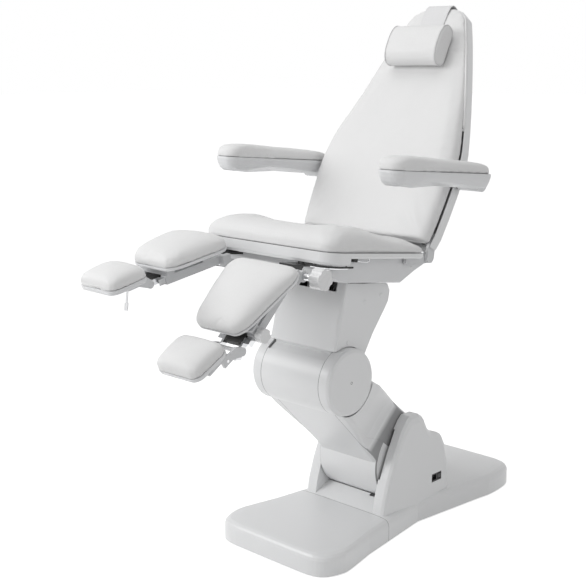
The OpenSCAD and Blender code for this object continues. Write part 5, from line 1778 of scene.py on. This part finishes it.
@dataclass
class SeatFittings:
    """What shows under the seat's edge: the release loop, the swing guides and the pan's plugs."""

    width: float = 0.536
    corner: float = 0.052
    guide_inset: float = 0.012
    guide_drop: float = 0.0425
    guide_radius: float = 0.0042
    post_top: float = -0.0126
    lip_inset: float = 0.0045
    lip_drop: float = 0.0396
    bar_radius: float = 0.0028
    loop: tuple[Point, Point] = ((0.238, -0.427, 0.9495), (0.238, -0.358, 0.9375))
    loop_start: float = 0.004
    loop_half: float = 0.0055
    wire_radius: float = 0.0017
    plug_x: float = 0.220
    plug_spots: tuple[Flat, ...] = ((-0.134, 0.8824), (-0.1144, 0.894))
    plug: tuple[Flat, ...] = ((0.0045, -0.001), (0.0045, 0.0008), (0.0035, 0.0016), (0.0003, 0.0019))

    def edge(self, inset: float, first: float, last: float) -> list[Flat]:
        """Draws the seat's front left corner in.

        Args:
            inset: How far in.
            first: The x that it starts from.
            last: The v that it ends at.

        Returns:
            The line's points.
        """
        r, cx, cv = self.corner - inset, self.width / 2 - self.corner, self.corner
        turn = [(cx + r * math.sin(a), cv - r * math.cos(a)) for a in (math.radians(90 * k / 14) for k in range(15))]
        start = [(lerp(first, cx, k / 6), inset) for k in range(6)]
        return start + turn + [(self.width / 2 - inset, lerp(cv, last, k / 5)) for k in range(1, 6)]

    def rails(self) -> tuple[list[bpy.types.Object], list[bpy.types.Object]]:
        """Builds what runs along the seat's front corners.

        Returns:
            The guides with their posts, and the lips.
        """
        guides, lips = [], []
        for sign in (-1, 1):
            mirror = LAYOUT.seat() @ Matrix.Scale(sign, 4, (1, 0, 0))
            line = [(x, v, -self.guide_drop) for x, v in self.edge(self.guide_inset, 0.186, 0.085)]
            guides.append(tube("guide", line, self.guide_radius, mirror))
            for x, v, h in (line[1], line[-2]):
                guides.append(tube("post", [(x, v, h), (x, v, self.post_top)], self.bar_radius, mirror, 10))
            lip = [(x, v, -self.lip_drop) for x, v in self.edge(self.lip_inset, 0.17, 0.100)]
            lips.append(tube("lip", lip, self.bar_radius, mirror, 8))
        return guides, lips

    def release(self) -> tuple[bpy.types.Object, bpy.types.Object]:
        """Builds the release loop, a wire bent round at its far end.

        Returns:
            The loop and the socket that it comes out of.
        """
        a, b = (Vector(p) for p in self.loop)
        along = (b - a).normalized()
        up = Vector((1, 0, 0)).cross(along).normalized()
        start, half = a + along * self.loop_start, self.loop_half
        turn = [(math.cos(t), math.sin(t)) for t in (math.radians(-90 + 180 * k / 10) for k in range(11))]
        bend = [b - along * half + along * (c * half) + up * (s * half) for c, s in turn]
        wire = [start - up * half, *bend, start + up * half]
        loop = tube("release_loop", through(wire, 46), self.wire_radius, sides=10)
        block = [(p[0] * 0.010, p[1] * 0.009) for p in box_ring(1, 1, 0.3, 5, 3)]
        rings = [[tuple(start + along * (u * share) + up * (v * share) + Vector((x, 0, 0))) for u, v in block]
                 for share, x in ((1.0, -0.0185), (1.0, 0.004), (0.9, 0.0055), (0.7, 0.006))]
        return loop, loft("release_socket", rings, sharp=40)

    def build(self) -> list[bpy.types.Object]:
        """Builds the release loop, the guides with their posts, the lips and the plugs.

        Returns:
            The pieces.
        """
        guides, lips = self.rails()
        loop, socket = self.release()
        plugs = [turned_part("plug", self.plug, CoverTrim.facing(self.plug_x, y, z, 1), 24)
                 for y, z in self.plug_spots]
        made = []
        for piece, finish, slot in ((joined("swing_guides", guides), Palette.CHROME, "chrome"),
                                    (joined("skirt_lips", lips), Palette.RUBBER, "black"),
                                    (loop, Palette.CHROME, "chrome"), (socket, Palette.RUBBER, "black"),
                                    (joined("pan_plugs", plugs), Palette.KNOB, "trim")):
            wear(piece, finish)
            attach(piece, "seat")
            made.append(piece)
        return made


# Studio


@dataclass
class Studio:
    """A plain white floor and soft light from the sitter's front and right, with the photograph's view."""

    eye: Point = (2.2215, -2.8050, 1.5000)
    turn: float = 43.0
    dip: float = 11.85
    focal: float = 1113.0
    frame_px: float = 586.0
    world_light: float = 0.46
    floor_glow: float = 0.66
    aim: Point = (0, -0.2, 0.75)
    lamps: tuple[tuple[str, Point, float, float], ...] = (
        ("key", (-1.9, -3.3, 2.6), 2.4, 72.0), ("top", (-0.4, -0.8, 3.9), 2.6, 22.0),
        ("side", (3.6, -0.4, 2.2), 2.0, 10.0))

    def camera(self) -> None:
        """Sets the camera at the photograph's viewing angle."""
        data = bpy.data.cameras.new("camera")
        data.sensor_width = 36.0
        data.lens = self.focal / self.frame_px * 36.0
        data.clip_start, data.clip_end = 0.05, 100.0
        obj = bpy.data.objects.new("camera", data)
        bpy.context.scene.collection.objects.link(obj)
        a, p = math.radians(self.turn), math.radians(self.dip)
        view = Vector((-math.sin(a) * math.cos(p), math.cos(a) * math.cos(p), -math.sin(p)))
        obj.location = self.eye
        obj.rotation_euler = view.to_track_quat("-Z", "Y").to_euler()
        bpy.context.scene.camera = obj

    def lights(self) -> None:
        """Hangs the soft lamps, each aimed at the middle of the chair."""
        for name, at, size, watts in self.lamps:
            data = bpy.data.lights.new(name, "AREA")
            data.shape, data.size, data.energy = "DISK", size, watts
            obj = bpy.data.objects.new(name, data)
            bpy.context.scene.collection.objects.link(obj)
            obj.location = at
            obj.rotation_euler = (Vector(self.aim) - Vector(at)).to_track_quat("-Z", "Y").to_euler()

    @staticmethod
    def seen(w: Wiring) -> bpy.types.NodeSocket:
        """Tells what is seen directly from what only gets light.

        Args:
            w: The wiring to work in.

        Returns:
            A value of 1 for what the camera, a reflection or a glass sees directly.
        """
        path_node = w.add("ShaderNodeLightPath")
        both = w.maths("ADD", path_node.outputs["Is Camera Ray"], path_node.outputs["Is Glossy Ray"])
        return w.maths("ADD", both, path_node.outputs["Is Transmission Ray"], clamp=True)

    def world(self) -> None:
        """Makes the world white where it is seen and gentler where it only lights."""
        world = bpy.data.worlds.new("studio")
        bpy.context.scene.world = world
        world.use_nodes = True
        w = Wiring(world.node_tree)
        soft = world.node_tree.nodes["Background"]
        soft.inputs["Color"].default_value = (1, 1, 1, 1)
        soft.inputs["Strength"].default_value = self.world_light
        plain = w.add("ShaderNodeBackground", {"Color": (1, 1, 1, 1), "Strength": 1.0})
        mix = w.add("ShaderNodeMixShader", {0: self.seen(w), 1: soft.outputs[0], 2: plain.outputs[0]})
        w.feed(world.node_tree.nodes["World Output"].inputs[0], mix.outputs[0])

    def floor(self) -> bpy.types.Object:
        """Lays the plain pale floor, which keeps the chair's shadow.

        Returns:
            The floor.
        """
        size = 40.0
        floor = make_object("floor", [(-size, -size, 0), (size, -size, 0), (size, size, 0), (-size, size, 0)],
                            [(0, 1, 2, 3)])
        material = bpy.data.materials.new("pale_floor")
        material.use_nodes = True
        w = Wiring(material.node_tree)
        shader = material.node_tree.nodes["Principled BSDF"]
        at = w.add("ShaderNodeTexCoord").outputs["Object"]
        speckle = w.add("ShaderNodeTexNoise", {"Vector": at, "Scale": 2.0})
        w.feed(shader.inputs["Base Color"], w.mix(w.ranged(speckle.outputs[0], 0.3, 0.7, 0.0, 0.2),
                                                  (0.86, 0.86, 0.86, 1), (0.84, 0.84, 0.84, 1)))
        shader.inputs["Roughness"].default_value = 0.9
        shader.inputs["Specular IOR Level"].default_value = 0.1
        glow = w.add("ShaderNodeEmission", {"Color": (1, 1, 1, 1),
                                            "Strength": w.maths("MULTIPLY", self.seen(w), self.floor_glow)})
        both = w.add("ShaderNodeAddShader", {0: shader.outputs[0], 1: glow.outputs[0]})
        w.feed(material.node_tree.nodes["Material Output"].inputs[0], both.outputs[0])
        floor.data.materials.append(material)
        return floor

    def build(self) -> None:
        """Sets up the view, the lamps, the world and the floor."""
        self.camera()
        self.lights()
        self.world()
        self.floor()
        settings = bpy.context.scene.view_settings
        settings.view_transform = "Standard"


def pads() -> list[Pad]:
    """Lists every pad of the chair, with its sizes and its place.

    Returns:
        The pads, not built yet.
    """
    made: list[Pad] = [SeatPad(), BackPad(), PillowPad()]
    for side in Side:
        made.append(ArmPad("armrest_pad_" + side.word, "armrest_" + side.word, LAYOUT.arm(side)))
        leg = LAYOUT.hinge(side) @ Matrix.Translation((0, -0.020, 0.067))
        made.append(WedgePad("leg_pad_" + side.word, "leg_" + side.word, leg))
        foot = LAYOUT.foot(side) @ Matrix.Translation((0, -0.038, 0.049))
        made.append(WedgePad("foot_pad_" + side.word, "foot_" + side.word, foot, wide=0.178, narrow=0.1673,
                             length=0.128, height=0.060, crown=0.16, corner=0.22, middle=-0.038, tray=0.014,
                             voxel=0.0042))
    return made


def main() -> None:
    """Builds the chair's looks in order, and reports each piece."""
    logging.basicConfig(level=logging.INFO, format="%(message)s")
    Studio().build()
    LOG.info("studio: camera, %d lamps and the floor", len(Studio().lamps))
    LOG.info("covers and machinery: %d parts dressed", CarriedParts().dress())
    for pad in pads():
        piece = pad.build()
        LOG.info("padding: %s, %d faces", piece.name, len(piece.data.polygons))
    LOG.info("strap: %s", HeadStrap().build().name)
    for group in (CoverTrim(), ArmFittings(), SeatFittings()):
        for piece in group.build():
            LOG.info("fitting: %s, %d faces", piece.name, len(piece.data.polygons))


if __name__ == "__main__":
    main()
